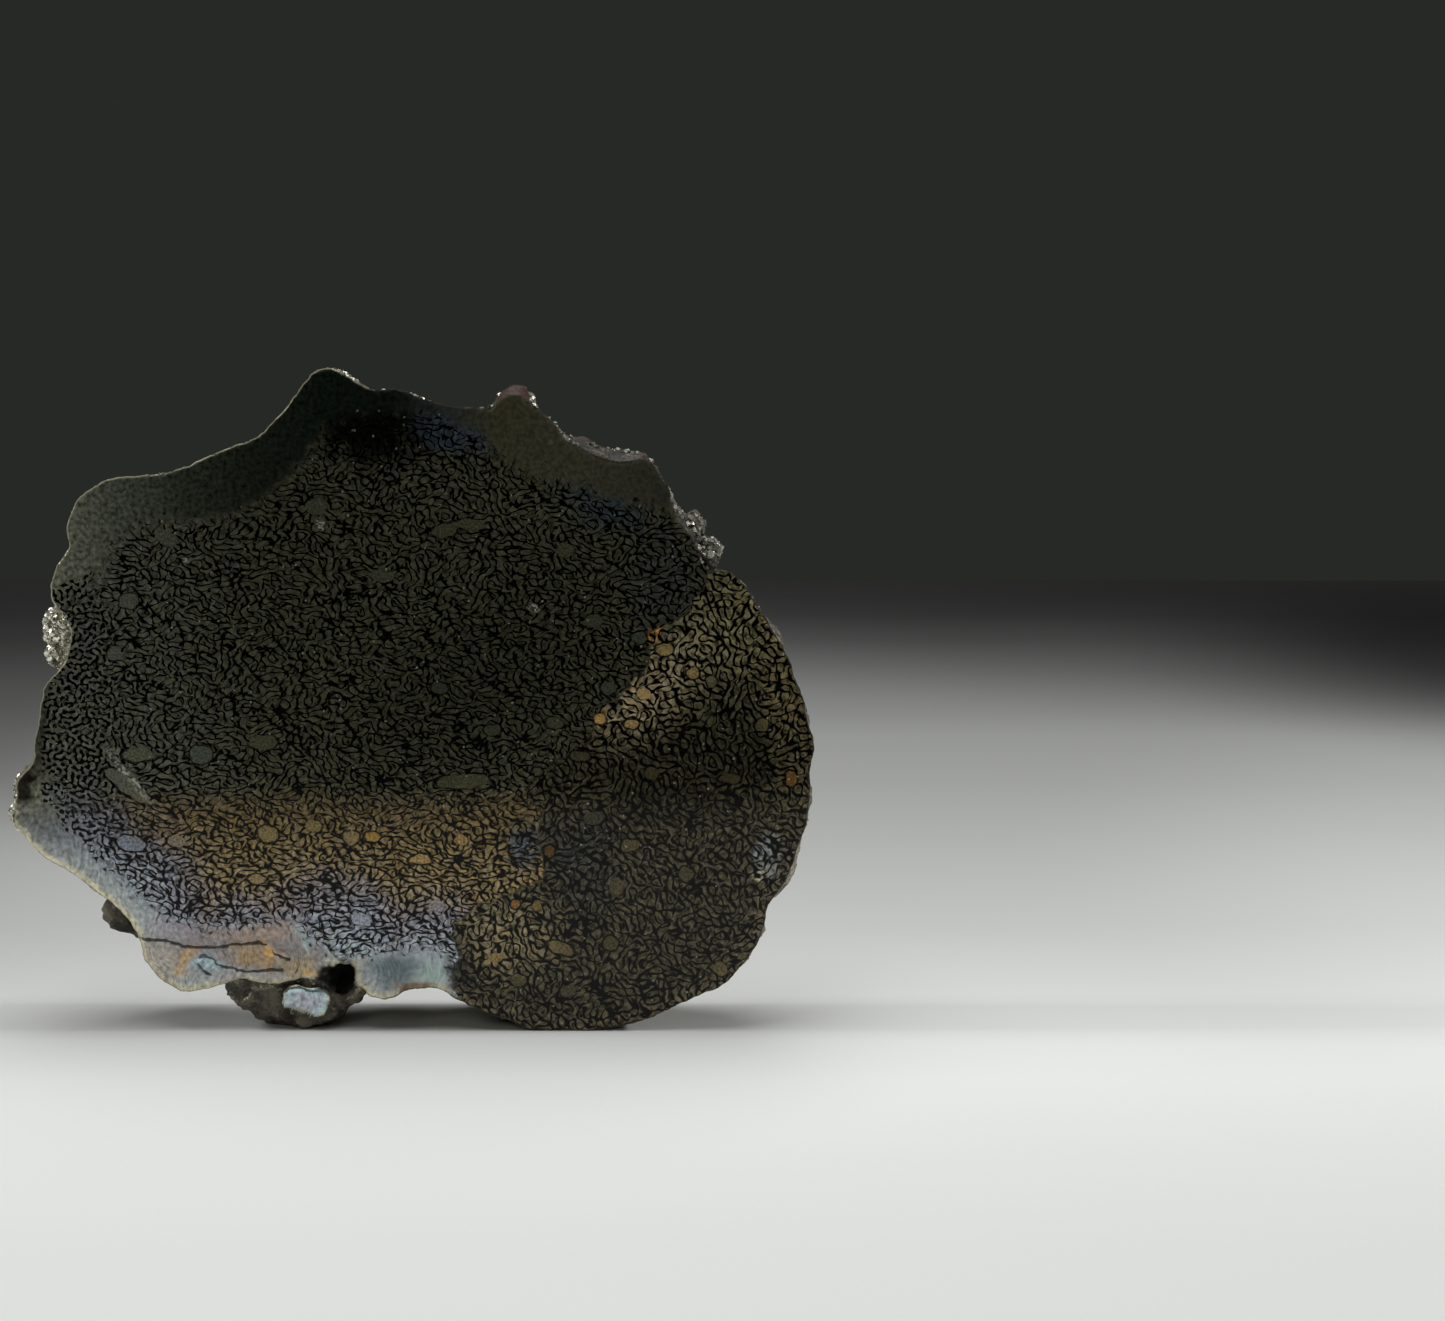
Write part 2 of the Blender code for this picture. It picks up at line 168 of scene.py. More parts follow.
class Graph:
    """Node tree of one material, with the textures that the finishes of this stone share."""

    def __init__(self, name: str) -> None:
        """Start an empty material.

        Args:
            name: Name of the material.
        """
        self.material = bpy.data.materials.new(name)
        self.material.use_nodes = True
        self.tree = self.material.node_tree
        self.tree.nodes.clear()

    def _fill(self, socket: bpy.types.NodeSocket, value: Wire | float | tuple) -> None:
        """Link a wire to an input, or write a number, vector or colour into it.

        Args:
            socket: Input of a node.
            value: What it gets.
        """
        if isinstance(value, Wire):
            self.tree.links.new(value.socket, socket)
        elif socket.type == "RGBA":
            rgb = value if isinstance(value, tuple) else (value,) * 3
            socket.default_value = (*rgb, 1.0)
        elif socket.type == "VECTOR" and not isinstance(value, tuple):
            socket.default_value = (value,) * 3
        else:
            socket.default_value = value

    def node(
        self,
        kind: str,
        settings: dict[str, object] | None = None,
        sockets: dict[str | int, object] | None = None,
        output: str | int = 0,
    ) -> Wire:
        """Add any node.

        Args:
            kind: Blender's name of the node type.
            settings: Properties, set first; "stops" are a ramp's (position, colour) pairs.
            sockets: Value or wire of each input.
            output: Output to hand back.

        Returns:
            That output.
        """
        added = self.tree.nodes.new(kind)
        for name, value in (settings or {}).items():
            if name == "stops":
                elements = added.color_ramp.elements
                while len(elements) < len(value):
                    elements.new(1.0)
                for element, (position, colour) in zip(elements, value):
                    element.position = position
                    element.color = (*colour, 1.0)
            else:
                setattr(added, name, value)
        for name, value in (sockets or {}).items():
            self._fill(added.inputs[name], value)
        return Wire(self, added.outputs[output])

    def blend(self, operation: str, first: object, second: object, factor: float | Wire = 1.0) -> Wire:
        """Combine two colours with a Mix node.

        Args:
            operation: Blend type.
            first: Colour under the other.
            second: Colour on top.
            factor: Share of the operation.

        Returns:
            The combined colour.
        """
        settings = {"data_type": "RGBA", "blend_type": operation}
        return self.node("ShaderNodeMix", settings, {0: factor, 6: first, 7: second}, 2)

    def mix(self, factor: float | Wire, first: object, second: object) -> Wire:
        """Fade from the first colour to the second."""
        return self.blend("MIX", first, second, factor)

    def fade(self, factor: Wire, first: float | Wire, second: float | Wire) -> Wire:
        """Fade from the first number to the second."""
        return first + factor * (second - first)

    def millimetres(self) -> Wire:
        """Give the place on the piece in millimetres."""
        return self.node("ShaderNodeTexCoord", output="Object") * (1.0 / MM)

    def attribute(self, name: str) -> Wire:
        """Read a value that the mesh carries at its points."""
        return self.node("ShaderNodeAttribute", {"attribute_name": name}, output="Fac")

    def on_face(self, place: Wire) -> Wire:
        """Lay a place flat on the polished face, x first and height second."""
        return self.node("ShaderNodeCombineXYZ", {}, {0: place.part(0), 1: place.part(2)})

    def grain(self, place: Wire, length: float, detail: float = 1.0, dimensions: str = "3D") -> Wire:
        """Make soft noise.

        Args:
            place: Where it is read, in millimetres.
            length: Size of its features.
            detail: How many finer layers it has.
            dimensions: "2D" or "3D".

        Returns:
            Noise from 0 to 1 about a middle of 0.5.
        """
        return self.node(
            "ShaderNodeTexNoise",
            {"noise_dimensions": dimensions},
            {"Vector": place, "Scale": 1.0 / length, "Detail": detail},
        )

    def cells(self, place: Wire, size: float, dimensions: str = "3D") -> Wire:
        """Break the stone into grains, each with a random colour.

        Args:
            place: Where it is read, in millimetres.
            size: Size of a grain.
            dimensions: "2D" or "3D".

        Returns:
            Distance from the grain's middle, as a share of its size. The colour is beside it.
        """
        sockets = {"Vector": place, "Scale": 1.0 / size}
        return self.node("ShaderNodeTexVoronoi", {"voronoi_dimensions": dimensions}, sockets)

    def wander(self, place: Wire, length: float, reach: float, detail: float = 1.0) -> Wire:
        """Shift a place by noise, so that a pattern read there bends.

        Args:
            place: Where it is read, in millimetres.
            length: Size of the bends.
            reach: How far a point moves at most.
            detail: How many finer bends there are.

        Returns:
            The shifted place.
        """
        bends = self.grain(place, length, detail, "2D").beside("Color")
        centred = self.node("ShaderNodeVectorMath", {"operation": "SUBTRACT"}, {0: bends, 1: 0.5})
        return place + centred * (2.0 * reach)

    def patch(self, place: Wire, area: Area) -> Wire:
        """Mask an oval area with a soft border.

        Args:
            place: Place on the face in millimetres, height as its second component.
            area: The oval.

        Returns:
            1 inside, 0 outside.
        """
        local = self.node(
            "ShaderNodeMapping",
            {"vector_type": "TEXTURE"},
            {
                "Vector": place,
                "Location": (*area.middle, 0.0),
                "Rotation": (0.0, 0.0, math.radians(area.turn)),
                "Scale": (*area.radii, 1.0),
            },
        )
        length = self.node("ShaderNodeVectorMath", {"operation": "LENGTH"}, {0: local}, "Value")
        return length.step(1.0 - area.softness, 1.0 + area.softness, 1.0, 0.0)

    def stained(self, base: Wire, place: Wire, stains: tuple[Stain, ...]) -> Wire:
        """Lay stains over a colour, each over the ones before it.

        Args:
            base: The colour under them.
            place: Place on the face in millimetres.
            stains: The stains in order.

        Returns:
            The stained colour.
        """
        for stain in stains:
            base = self.mix(self.patch(place, stain.area) * stain.strength, base, stain.tint)
        return base

    def bump(self, height: Wire, strength: float, distance: float) -> Wire:
        """Turn a height into a normal.

        Args:
            height: Height from 0 to 1.
            strength: Share of the effect.
            distance: Height of 1, in millimetres.

        Returns:
            The bent normal.
        """
        sockets = {"Height": height, "Strength": strength, "Distance": distance * MM}
        return self.node("ShaderNodeBump", {}, sockets)

    def finish(self, sockets: dict[str, object]) -> bpy.types.Material:
        """Close the tree with its surface shader.

        Args:
            sockets: Inputs of the Principled shader.

        Returns:
            The material.
        """
        surface = self.node("ShaderNodeBsdfPrincipled", {}, sockets)
        output = self.tree.nodes.new("ShaderNodeOutputMaterial")
        self._fill(output.inputs["Surface"], surface)
        return self.material


@dataclass(frozen=True)
class Area:
    """Oval area of the polished face."""

    middle: Place
    radii: Place
    turn: float = 0.0
    softness: float = 0.35


@dataclass(frozen=True)
class Stain:
    """Area of the polished face with a colour and a shine of its own."""

    area: Area
    tint: Colour
    strength: float = 1.0
    metal: float = 0.0


@dataclass(frozen=True)
class Outline:
    """Closed outline on the polished face."""

    points: tuple[Place, ...]

    def inner_distance(self, places: np.ndarray) -> np.ndarray:
        """Measure how far places lie inside the outline.

        Args:
            places: Rows of (x, height).

        Returns:
            Distance to the outline, below 0 outside it.
        """
        corners = np.array(self.points)
        return inner_distance(places, corners)


def inner_distance(places: np.ndarray, corners: np.ndarray) -> np.ndarray:
    """Measure how far places lie inside a closed polygon.

    Args:
        places: Rows of (x, height).
        corners: The polygon's corners in order.

    Returns:
        Distance to the polygon, below 0 outside it.
    """
    ends = np.roll(corners, -1, axis=0)
    spans = ends - corners
    lengths = np.maximum((spans**2).sum(1), TINY)
    found = np.empty(len(places))
    for first in range(0, len(places), BATCH):
        here = places[first : first + BATCH, None, :]
        along = np.clip(((here - corners) * spans).sum(2) / lengths, 0.0, 1.0)
        nearest = corners + along[:, :, None] * spans
        distance = np.sqrt(((here - nearest) ** 2).sum(2).min(1))
        x, height = here[:, :, 0], here[:, :, 1]
        crosses = (corners[:, 1] > height) != (ends[:, 1] > height)
        rise = np.where(np.abs(spans[:, 1]) < TINY, TINY, spans[:, 1])
        at_x = corners[:, 0] + (height - corners[:, 1]) / rise * spans[:, 0]
        inside = (crosses & (x < at_x)).sum(1) % 2 == 1
        found[first : first + BATCH] = np.where(inside, distance, -distance)
    return found


class Grey(Enum):
    """Tone of a filled vessel in the bone, as the value that its points carry."""

    ASH = 0.0
    BLUE = 0.17
    LILAC = 0.34
    OLIVE = 0.50
    TAN = 0.67
    GOLD = 0.83
    ORANGE = 1.0


@dataclass(frozen=True)
class Vessel:
    """Filled vessel of the bone that shows on the face as an even oval."""

    x: float
    height: float
    radius: float
    half_height: float
    tone: Grey
    turn: float = 0.0


@dataclass(frozen=True)
class FaceChart:
    """Map of the polished face: what grew where in the bone and in the stone round it."""

    massive: tuple[Outline, ...] = (
        Outline((
            (-61.4, 79.0), (-59.4, 81.1), (-56.6, 81.8), (-53.3, 82.8), (-52.4, 86.1), (-50.7, 88.9),
            (-48.3, 91.2), (-45.0, 92.9), (-39.8, 93.1), (-34.7, 93.1), (-29.5, 93.8), (-25.7, 95.9),
            (-21.5, 99.2), (-17.7, 102.5), (-14.8, 107.5), (-11.5, 110.4), (-6.5, 111.5), (-0.2, 111.8),
            (2.8, 111.6), (7.2, 111.0), (11.0, 109.3), (14.9, 106.8), (19.2, 102.9), (23.1, 100.7),
            (27.0, 100.0), (31.4, 99.0), (34.8, 97.1), (38.7, 96.3), (42.1, 96.1), (45.5, 94.6),
            (52.0, 93.0), (52.0, 124.0), (-68.0, 124.0), (-68.0, 79.0),
        )),
        Outline((
            (-62.6, 67.0), (-62.3, 65.5), (-63.4, 60.9), (-64.2, 54.2), (-64.4, 49.4), (-64.6, 44.6),
            (-65.4, 42.7), (-62.8, 40.7), (-60.1, 36.8), (-56.9, 33.4), (-53.7, 29.1), (-50.4, 26.1),
            (-47.7, 23.2), (-44.9, 20.5), (-38.8, 18.3), (-32.6, 17.8), (-26.3, 19.0), (-21.5, 19.5),
            (-19.2, 17.3), (-16.8, 15.3), (-14.5, 13.4), (-11.7, 11.4), (-9.2, 12.9), (-6.3, 13.8),
            (-2.5, 14.3), (0.1, 13.8), (3.7, 15.0), (6.0, 13.0), (6.6, 9.0), (7.0, -2.0), (-78.0, -2.0),
            (-78.0, 67.0),
        )),
    )
    lobe: Outline = Outline((
        (54.3, 82.8), (52.3, 79.3), (48.9, 74.4), (43.5, 72.4), (43.0, 66.9), (40.0, 63.9), (36.5, 60.4),
        (33.0, 57.3), (33.0, 53.8), (28.5, 50.2), (26.5, 47.2), (21.5, 45.2), (20.8, 42.7), (24.0, 40.1),
        (23.4, 35.5), (23.9, 31.5), (23.3, 28.4), (18.3, 25.3), (12.3, 22.8), (7.8, 20.7), (6.7, 18.1),
        (8.1, 13.0), (7.6, 7.8), (7.0, -4.0), (80.0, -4.0), (80.0, 90.0), (54.3, 90.0),
    ))
    vessels: tuple[Vessel, ...] = (
        Vessel(-36.4, 50.4, 1.9, 1.7, Grey.BLUE),
        Vessel(-25.0, 52.6, 2.4, 1.2, Grey.OLIVE),
        Vessel(-47.3, 50.6, 2.9, 1.2, Grey.OLIVE),
        Vessel(-49.6, 44.9, 4.6, 1.3, Grey.ASH, -38.0),
        Vessel(-24.9, 36.1, 1.7, 1.5, Grey.ASH),
        Vessel(-10.2, 35.4, 1.5, 1.2, Grey.ASH),
        Vessel(-6.4, 35.6, 1.3, 1.0, Grey.GOLD),
        Vessel(-49.2, 34.4, 2.5, 1.5, Grey.BLUE, -12.0),
        Vessel(-41.1, 34.9, 1.4, 1.0, Grey.ASH),
        Vessel(-8.6, 20.5, 1.9, 1.3, Grey.LILAC, -15.0),
        Vessel(-27.0, 27.8, 1.5, 0.9, Grey.LILAC),
        Vessel(-16.8, 37.6, 1.3, 1.1, Grey.ASH),
        Vessel(9.9, 45.6, 4.5, 1.3, Grey.OLIVE, 4.0),
        Vessel(43.4, 47.2, 1.3, 1.1, Grey.TAN),
        Vessel(57.0, 46.2, 1.7, 1.0, Grey.TAN),
        Vessel(62.7, 55.8, 1.2, 1.1, Grey.TAN),
        Vessel(67.9, 46.2, 1.0, 1.4, Grey.ORANGE),
        Vessel(30.5, 50.2, 1.6, 0.9, Grey.ASH),
        Vessel(25.9, 56.0, 1.4, 1.0, Grey.ASH),
        Vessel(15.2, 54.8, 1.4, 1.0, Grey.ASH),
        Vessel(23.0, 47.5, 0.9, 0.9, Grey.ASH),
        Vessel(39.7, 56.0, 1.3, 0.9, Grey.GOLD),
        Vessel(41.7, 61.3, 1.3, 1.1, Grey.GOLD),
        Vessel(34.0, 56.8, 1.1, 0.9, Grey.GOLD),
        Vessel(39.3, 34.0, 1.6, 1.1, Grey.TAN),
        Vessel(32.9, 39.1, 2.0, 1.2, Grey.ASH),
        Vessel(36.8, 26.4, 1.2, 1.5, Grey.TAN),
        Vessel(27.0, 15.3, 2.4, 1.1, Grey.TAN, -20.0),
        Vessel(15.4, 13.5, 1.5, 1.0, Grey.GOLD),
        Vessel(22.5, 23.0, 0.8, 0.9, Grey.GOLD),
        Vessel(18.8, 23.5, 0.7, 0.7, Grey.ORANGE),
        Vessel(24.9, 32.9, 1.0, 1.1, Grey.ORANGE),
        Vessel(55.3, 11.4, 1.6, 1.2, Grey.TAN, -20.0),
        Vessel(28.2, 7.3, 1.4, 1.0, Grey.ASH),
        Vessel(35.7, 16.1, 1.3, 1.2, Grey.OLIVE),
        Vessel(1.9, 31.5, 1.9, 1.0, Grey.TAN),
        Vessel(9.5, 35.0, 1.1, 1.0, Grey.TAN),
        Vessel(4.8, 23.0, 1.6, 1.1, Grey.LILAC),
        Vessel(19.6, 9.4, 1.4, 1.1, Grey.OLIVE),
        Vessel(49.3, 28.9, 1.3, 1.3, Grey.OLIVE),
        Vessel(-41.4, 88.9, 1.9, 1.2, Grey.ASH, -30.0),
        Vessel(-15.0, 94.5, 1.8, 1.5, Grey.ASH),
        Vessel(-48.3, 77.8, 1.7, 1.4, Grey.ASH),
        Vessel(-50.9, 68.6, 1.2, 1.2, Grey.ASH),
        Vessel(-3.6, 82.3, 2.4, 1.0, Grey.ASH),
        Vessel(7.3, 90.2, 2.0, 1.2, Grey.OLIVE),
        Vessel(11.7, 91.4, 2.5, 1.0, Grey.OLIVE),
        Vessel(33.2, 74.4, 1.6, 1.1, Grey.ASH),
        Vessel(28.3, 86.7, 1.5, 1.2, Grey.OLIVE),
        Vessel(35.5, 62.4, 1.4, 1.2, Grey.BLUE),
        Vessel(41.0, 71.4, 1.2, 1.0, Grey.BLUE),
        Vessel(50.4, 65.1, 1.2, 1.0, Grey.GOLD),
        Vessel(45.4, 69.4, 1.5, 1.1, Grey.GOLD),
        Vessel(53.8, 63.4, 0.9, 1.0, Grey.BLUE),
        Vessel(5.9, 62.4, 1.4, 1.1, Grey.ASH),
    )
    cracks: tuple[tuple[Place, ...], ...] = (
        ((-48.4, 17.2), (-44.5, 17.0), (-42.2, 16.6), (-40.3, 15.8), (-35.0, 15.6), (-31.6, 16.1),
         (-27.3, 16.6), (-25.4, 16.1)),
        ((-38.0, 13.5), (-37.0, 14.3), (-35.1, 13.4), (-34.4, 12.4), (-32.2, 11.9), (-29.4, 11.1),
         (-25.5, 11.4), (-22.7, 11.6)),
        ((-38.2, 12.8), (-37.0, 11.4), (-35.4, 10.2)),
        ((-20.2, 13.8), (-19.8, 12.4), (-20.8, 10.6)),
        ((-24.8, 15.2), (-24.2, 14.3), (-22.8, 13.7), (-21.3, 13.4)),
        ((22.7, 106.8), (24.1, 105.6), (25.3, 105.3), (26.4, 106.0)),
    )

    def massive_depth(self, places: np.ndarray) -> np.ndarray:
        """Measure how far places lie inside the stone that has no bone pattern."""
        return np.maximum.reduce([outline.inner_distance(places) for outline in self.massive])

    def vessel_values(self, places: np.ndarray) -> tuple[np.ndarray, np.ndarray]:
        """Measure how far places lie inside the nearest filled vessel.

        Args:
            places: Rows of (x, height).

        Returns:
            Distance in millimetres, below 0 outside, and the tone of that vessel.
        """
        depth = np.full(len(places), -9.0)
        tone = np.zeros(len(places))
        for vessel in self.vessels:
            away = places - (vessel.x, vessel.height)
            turn = math.radians(vessel.turn)
            along = away[:, 0] * math.cos(turn) + away[:, 1] * math.sin(turn)
            across = away[:, 1] * math.cos(turn) - away[:, 0] * math.sin(turn)
            reach = np.hypot(along / vessel.radius, across / vessel.half_height)
            here = (1.0 - reach) * min(vessel.radius, vessel.half_height)
            nearer = here > depth
            depth = np.where(nearer, here, depth)
            tone = np.where(nearer, vessel.tone.value, tone)
        return depth, tone


class Layer(Enum):
    """Material of each stretch of the slab's surface, in the order of its slots."""

    POLISHED = 0
    SAWN = 1
    CRUST = 2
    MATRIX = 3
    DRUSE = 4


@dataclass(frozen=True)
class Lump:
    """Place on the rim where another mineral sits."""

    middle: Point
    radii: Point
    layer: Layer

    def holds(self, point: Vector) -> bool:
        """Tell whether a point lies in the lump."""
        return sum(((p - m) / r) ** 2 for p, m, r in zip(point, self.middle, self.radii)) < 1.0


class CapNet:
    """Points and fixed edges from which one sawn plane is filled with triangles."""

    def __init__(self) -> None:
        """Start without points."""
        self.places: list[Vector] = []
        self.edges: list[tuple[int, int]] = []

    def add_points(self, places: list[Place]) -> None:
        """Add free points."""
        self.places += [Vector(place) for place in places]

    def add_ring(self, places: list[Place]) -> None:
        """Add a closed line whose edges stay.

        Args:
            places: Its points in order.
        """
        first = len(self.places)
        count = len(places)
        self.add_points(places)
        self.edges += [(first + index, first + (index + 1) % count) for index in range(count)]

    def fill(self, rings: list[np.ndarray]) -> tuple[list[Vector], list[list[int]], list[list[int]]]:
        """Triangulate the inside of the rings.

        Args:
            rings: Closed edges of the plane.

        Returns:
            The points, the corners of each triangle, and the points of this net that each came from.
        """
        points, _, faces, origins, _, _ = geometry.delaunay_2d_cdt(self.places, self.edges, [], 0, 1e-6)
        spots = np.array([(point.x, point.y) for point in points])
        middles = spots[np.array(faces)].mean(1)
        inside = np.maximum.reduce([inner_distance(middles, ring) for ring in rings]) > 0.0
        return points, [corners for corners, kept in zip(faces, inside) if kept], origins


@dataclass
class SlabSkin:
    """Surface of the slab: its rough natural rim between the polished face and the sawn back."""

    chart: FaceChart
    rim_edge: float = 0.72
    split_passes: int = 4
    smoothing_passes: int = 2
    smoothing_pull: float = 0.5
    face_grid: float = 0.72
    back_grid: float = 1.5
    edge_wear: tuple[float, float] = (0.08, 0.32)
    wear_width: float = 0.32
    outline_ragged: tuple[tuple[float, float], ...] = ((2.2, 0.20), (0.8, 0.16))
    matrix_fray: float = 2.8
    crust_relief: tuple[tuple[float, float], ...] = ((4.5, 0.42), (1.9, 0.26), (0.9, 0.12))
    matrix_relief: tuple[tuple[float, float], ...] = ((3.6, 0.6), (1.5, 0.55), (0.7, 0.28))
    grain_size: float = 1.15
    grain_height: float = 0.34
    grain_middle: float = 0.35
    relief_fade: float = 1.1
    crack_step: float = 0.35
    crack_width: float = 0.06
    crack_depth: float = 0.035
    crack_sway: float = 0.3
    crack_sway_aside: float = 0.12
    crack_clearance: float = 0.45
    crack_waves: float = 0.9
    crack_width_waves: float = 1.3
    wear_length: float = 2.7
    sharp_angle: float = 32.0
    plane_gap: float = 0.02
    plane_clearance: float = 0.05
    flat_limit: float = 0.99
    cap_limit: float = 0.5
    weld: float = 0.002
    lumps: tuple[Lump, ...] = (
        Lump((-60.8, -4.8, 72.6), (4.4, 5.0, 5.0), Layer.DRUSE),
        Lump((-61.8, -5.0, 67.4), (3.6, 4.5, 3.6), Layer.DRUSE),
        Lump((-52.4, -1.8, 20.0), (5.0, 6.4, 4.9), Layer.MATRIX),
        Lump((-21.0, -1.5, 3.6), (13.6, 10.0, 6.4), Layer.MATRIX),
        Lump((-12.9, -8.6, 9.5), (3.6, 6.6, 3.9), Layer.MATRIX),
    )
    mesh: bmesh.types.BMesh = field(init=False)
    face_rings: list[np.ndarray] = field(init=False, default_factory=list)

    def build(self, node: bpy.types.Object) -> bpy.types.Object:
        """Make the finely broken surface over the CAD solid.

        Args:
            node: CAD solid of the slab.

        Returns:
            The new piece.
        """
        self.mesh = bmesh.new()
        self.mesh.from_mesh(node.data)
        bmesh.ops.scale(self.mesh, vec=(1.0 / MM,) * 3, verts=self.mesh.verts)
        bmesh.ops.remove_doubles(self.mesh, verts=self.mesh.verts, dist=self.weld)
        self._open_plane(FACE_Y)
        self._open_plane(BACK_Y)
        self._refine()
        self._smooth_rim()
        self._roughen()
        self._close_plane(FACE_Y, self.face_grid)
        self._close_plane(BACK_Y, self.back_grid)
        bmesh.ops.recalc_face_normals(self.mesh, faces=self.mesh.faces)
        self._assign_layers()
        return self._as_piece()

    def _on_plane(self, vert: bmesh.types.BMVert, plane: float) -> bool:
        """Tell whether a point lies in a sawn plane."""
        return abs(vert.co.y - plane) < self.plane_gap

    def _open_plane(self, plane: float) -> None:
        """Take the faces of one sawn plane away.

        Args:
            plane: Its y.
        """
        flat = [
            face for face in self.mesh.faces
            if abs(face.normal.y) > self.flat_limit
            and all(self._on_plane(vert, plane) for vert in face.verts)
        ]
        bmesh.ops.delete(self.mesh, geom=flat, context="FACES")

    def _refine(self) -> None:
        """Split the rim's long edges until all are short."""
        for _ in range(self.split_passes):
            bmesh.ops.triangulate(self.mesh, faces=self.mesh.faces)
            long_edges = [edge for edge in self.mesh.edges if edge.calc_length() > self.rim_edge]
            bmesh.ops.subdivide_edges(self.mesh, edges=long_edges, cuts=1)
        bmesh.ops.triangulate(self.mesh, faces=self.mesh.faces)

    def _smooth_rim(self) -> None:
        """Round off the flats of the coarse solid, and keep the planes and the feet flat."""
        for _ in range(self.smoothing_passes):
            moves = {}
            for vert in self.mesh.verts:
                if vert.co.z < self.plane_gap:
                    continue
                links = [edge for edge in vert.link_edges if edge.is_boundary or not vert.is_boundary]
                ends = [edge.other_vert(vert).co for edge in links]
                moves[vert] = vert.co.lerp(sum(ends, Vector()) / len(ends), self.smoothing_pull)
            for vert, target in moves.items():
                vert.co = target

    @staticmethod
    def _layered(place: Vector, layers: tuple[tuple[float, float], ...]) -> float:
        """Add noise of several sizes.

        Args:
            place: Where it is read.
            layers: (length, height) of each size.

        Returns:
            The sum, about 0.
        """
        return sum(noise.noise(place / length) * height for length, height in layers)

    def _layer_at(self, point: Vector) -> Layer:
        """Name the mineral at a place on the rim."""
        return next((lump.layer for lump in self.lumps if lump.holds(point)), Layer.CRUST)

    def _roughen(self) -> None:
        """Push the rim in and out as broken stone and crust are, and fray its two edges a little."""
        relief = self.mesh.verts.layers.float.new("relief")
        self.mesh.verts.layers.float.new("groove")
        self.mesh.normal_update()
        low, high = (Vector(corner) / MM for corner in CAD_BOX)
        moves = {}
        for vert in self.mesh.verts:
            if vert.co.z < self.plane_gap:
                continue
            if vert.is_boundary:
                outward = Vector((vert.normal.x, 0.0, vert.normal.z)).normalized()
                fray = self.matrix_fray if self._layer_at(vert.co) is Layer.MATRIX else 1.0
                moves[vert] = (outward, self._layered(vert.co, self.outline_ragged) * fray)
                continue
            if self._layer_at(vert.co) is Layer.MATRIX:
                height = self._layered(vert.co, self.matrix_relief)
            else:
                nearest = noise.voronoi(vert.co / self.grain_size)[0]
                height = self._layered(vert.co, self.crust_relief)
                height += (nearest[1] - nearest[0] - self.grain_middle) * self.grain_height
            depth = min(vert.co.y - FACE_Y, BACK_Y - vert.co.y)
            moves[vert] = (vert.normal.copy(), height * min(max(depth / self.relief_fade, 0.0), 1.0))
        for vert, (outward, height) in moves.items():
            vert[relief] = height
            target = vert.co + outward * height
            if not vert.is_boundary:
                target.y = min(max(target.y, FACE_Y + self.plane_clearance), BACK_Y - self.plane_clearance)
            for axis in range(3):
                vert.co[axis] = min(max(target[axis], low[axis]), high[axis])

    def _loops(self, plane: float) -> list[list[bmesh.types.BMVert]]:
        """Walk the open edges in one sawn plane.

        Args:
            plane: Its y.

        Returns:
            The points of each closed loop in order.
        """
        ordered = [
            edge for edge in self.mesh.edges
            if edge.is_boundary and all(self._on_plane(vert, plane) for vert in edge.verts)
        ]
        left = set(ordered)
        loops = []
        for edge in ordered:
            if edge not in left:
                continue
            left.discard(edge)
            start, vert = edge.verts
            loop = [start]
            while vert is not start:
                loop.append(vert)
                onward = next(link for link in vert.link_edges if link in left)
                left.discard(onward)
                vert = onward.other_vert(vert)
            loops.append(loop)
        return loops

    def _crack_line(self, corners: tuple[Place, ...]) -> list[Place]:
        """Place points at even steps along a crack, with a little wander.

        Args:
            corners: Corners of its line.

        Returns:
            The points.
        """
        line = []
        for start, end in zip(corners, corners[1:]):
            count = max(1, round(math.dist(start, end) / self.crack_step))
            for index in range(count):
                spot = Vector(start).lerp(Vector(end), index / count)
                sway = noise.noise(Vector((*spot, 8.0)) * self.crack_waves)
                line.append((spot.x + sway * self.crack_sway_aside, spot.y + sway * self.crack_sway))
        return [*line, corners[-1]]

    def _crack_strip(self, line: list[Place]) -> list[Place]:
        """Put a thin closed outline round a crack's line.

        Args:
            line: Points along the crack.

        Returns:
            The outline's points in order.
        """
        left, right = [], []
        for before, spot, after in zip(line, line[1:], line[2:]):
            along = (Vector(after) - Vector(before)).normalized()
            swell = noise.noise(Vector((*spot, 4.0)) * self.crack_width_waves)
            width = self.crack_width * (1.0 + 0.6 * swell)
            left.append((spot[0] - along.y * width, spot[1] + along.x * width))
            right.append((spot[0] + along.y * width, spot[1] - along.x * width))
        return [line[0], *left, line[-1], *reversed(right)]

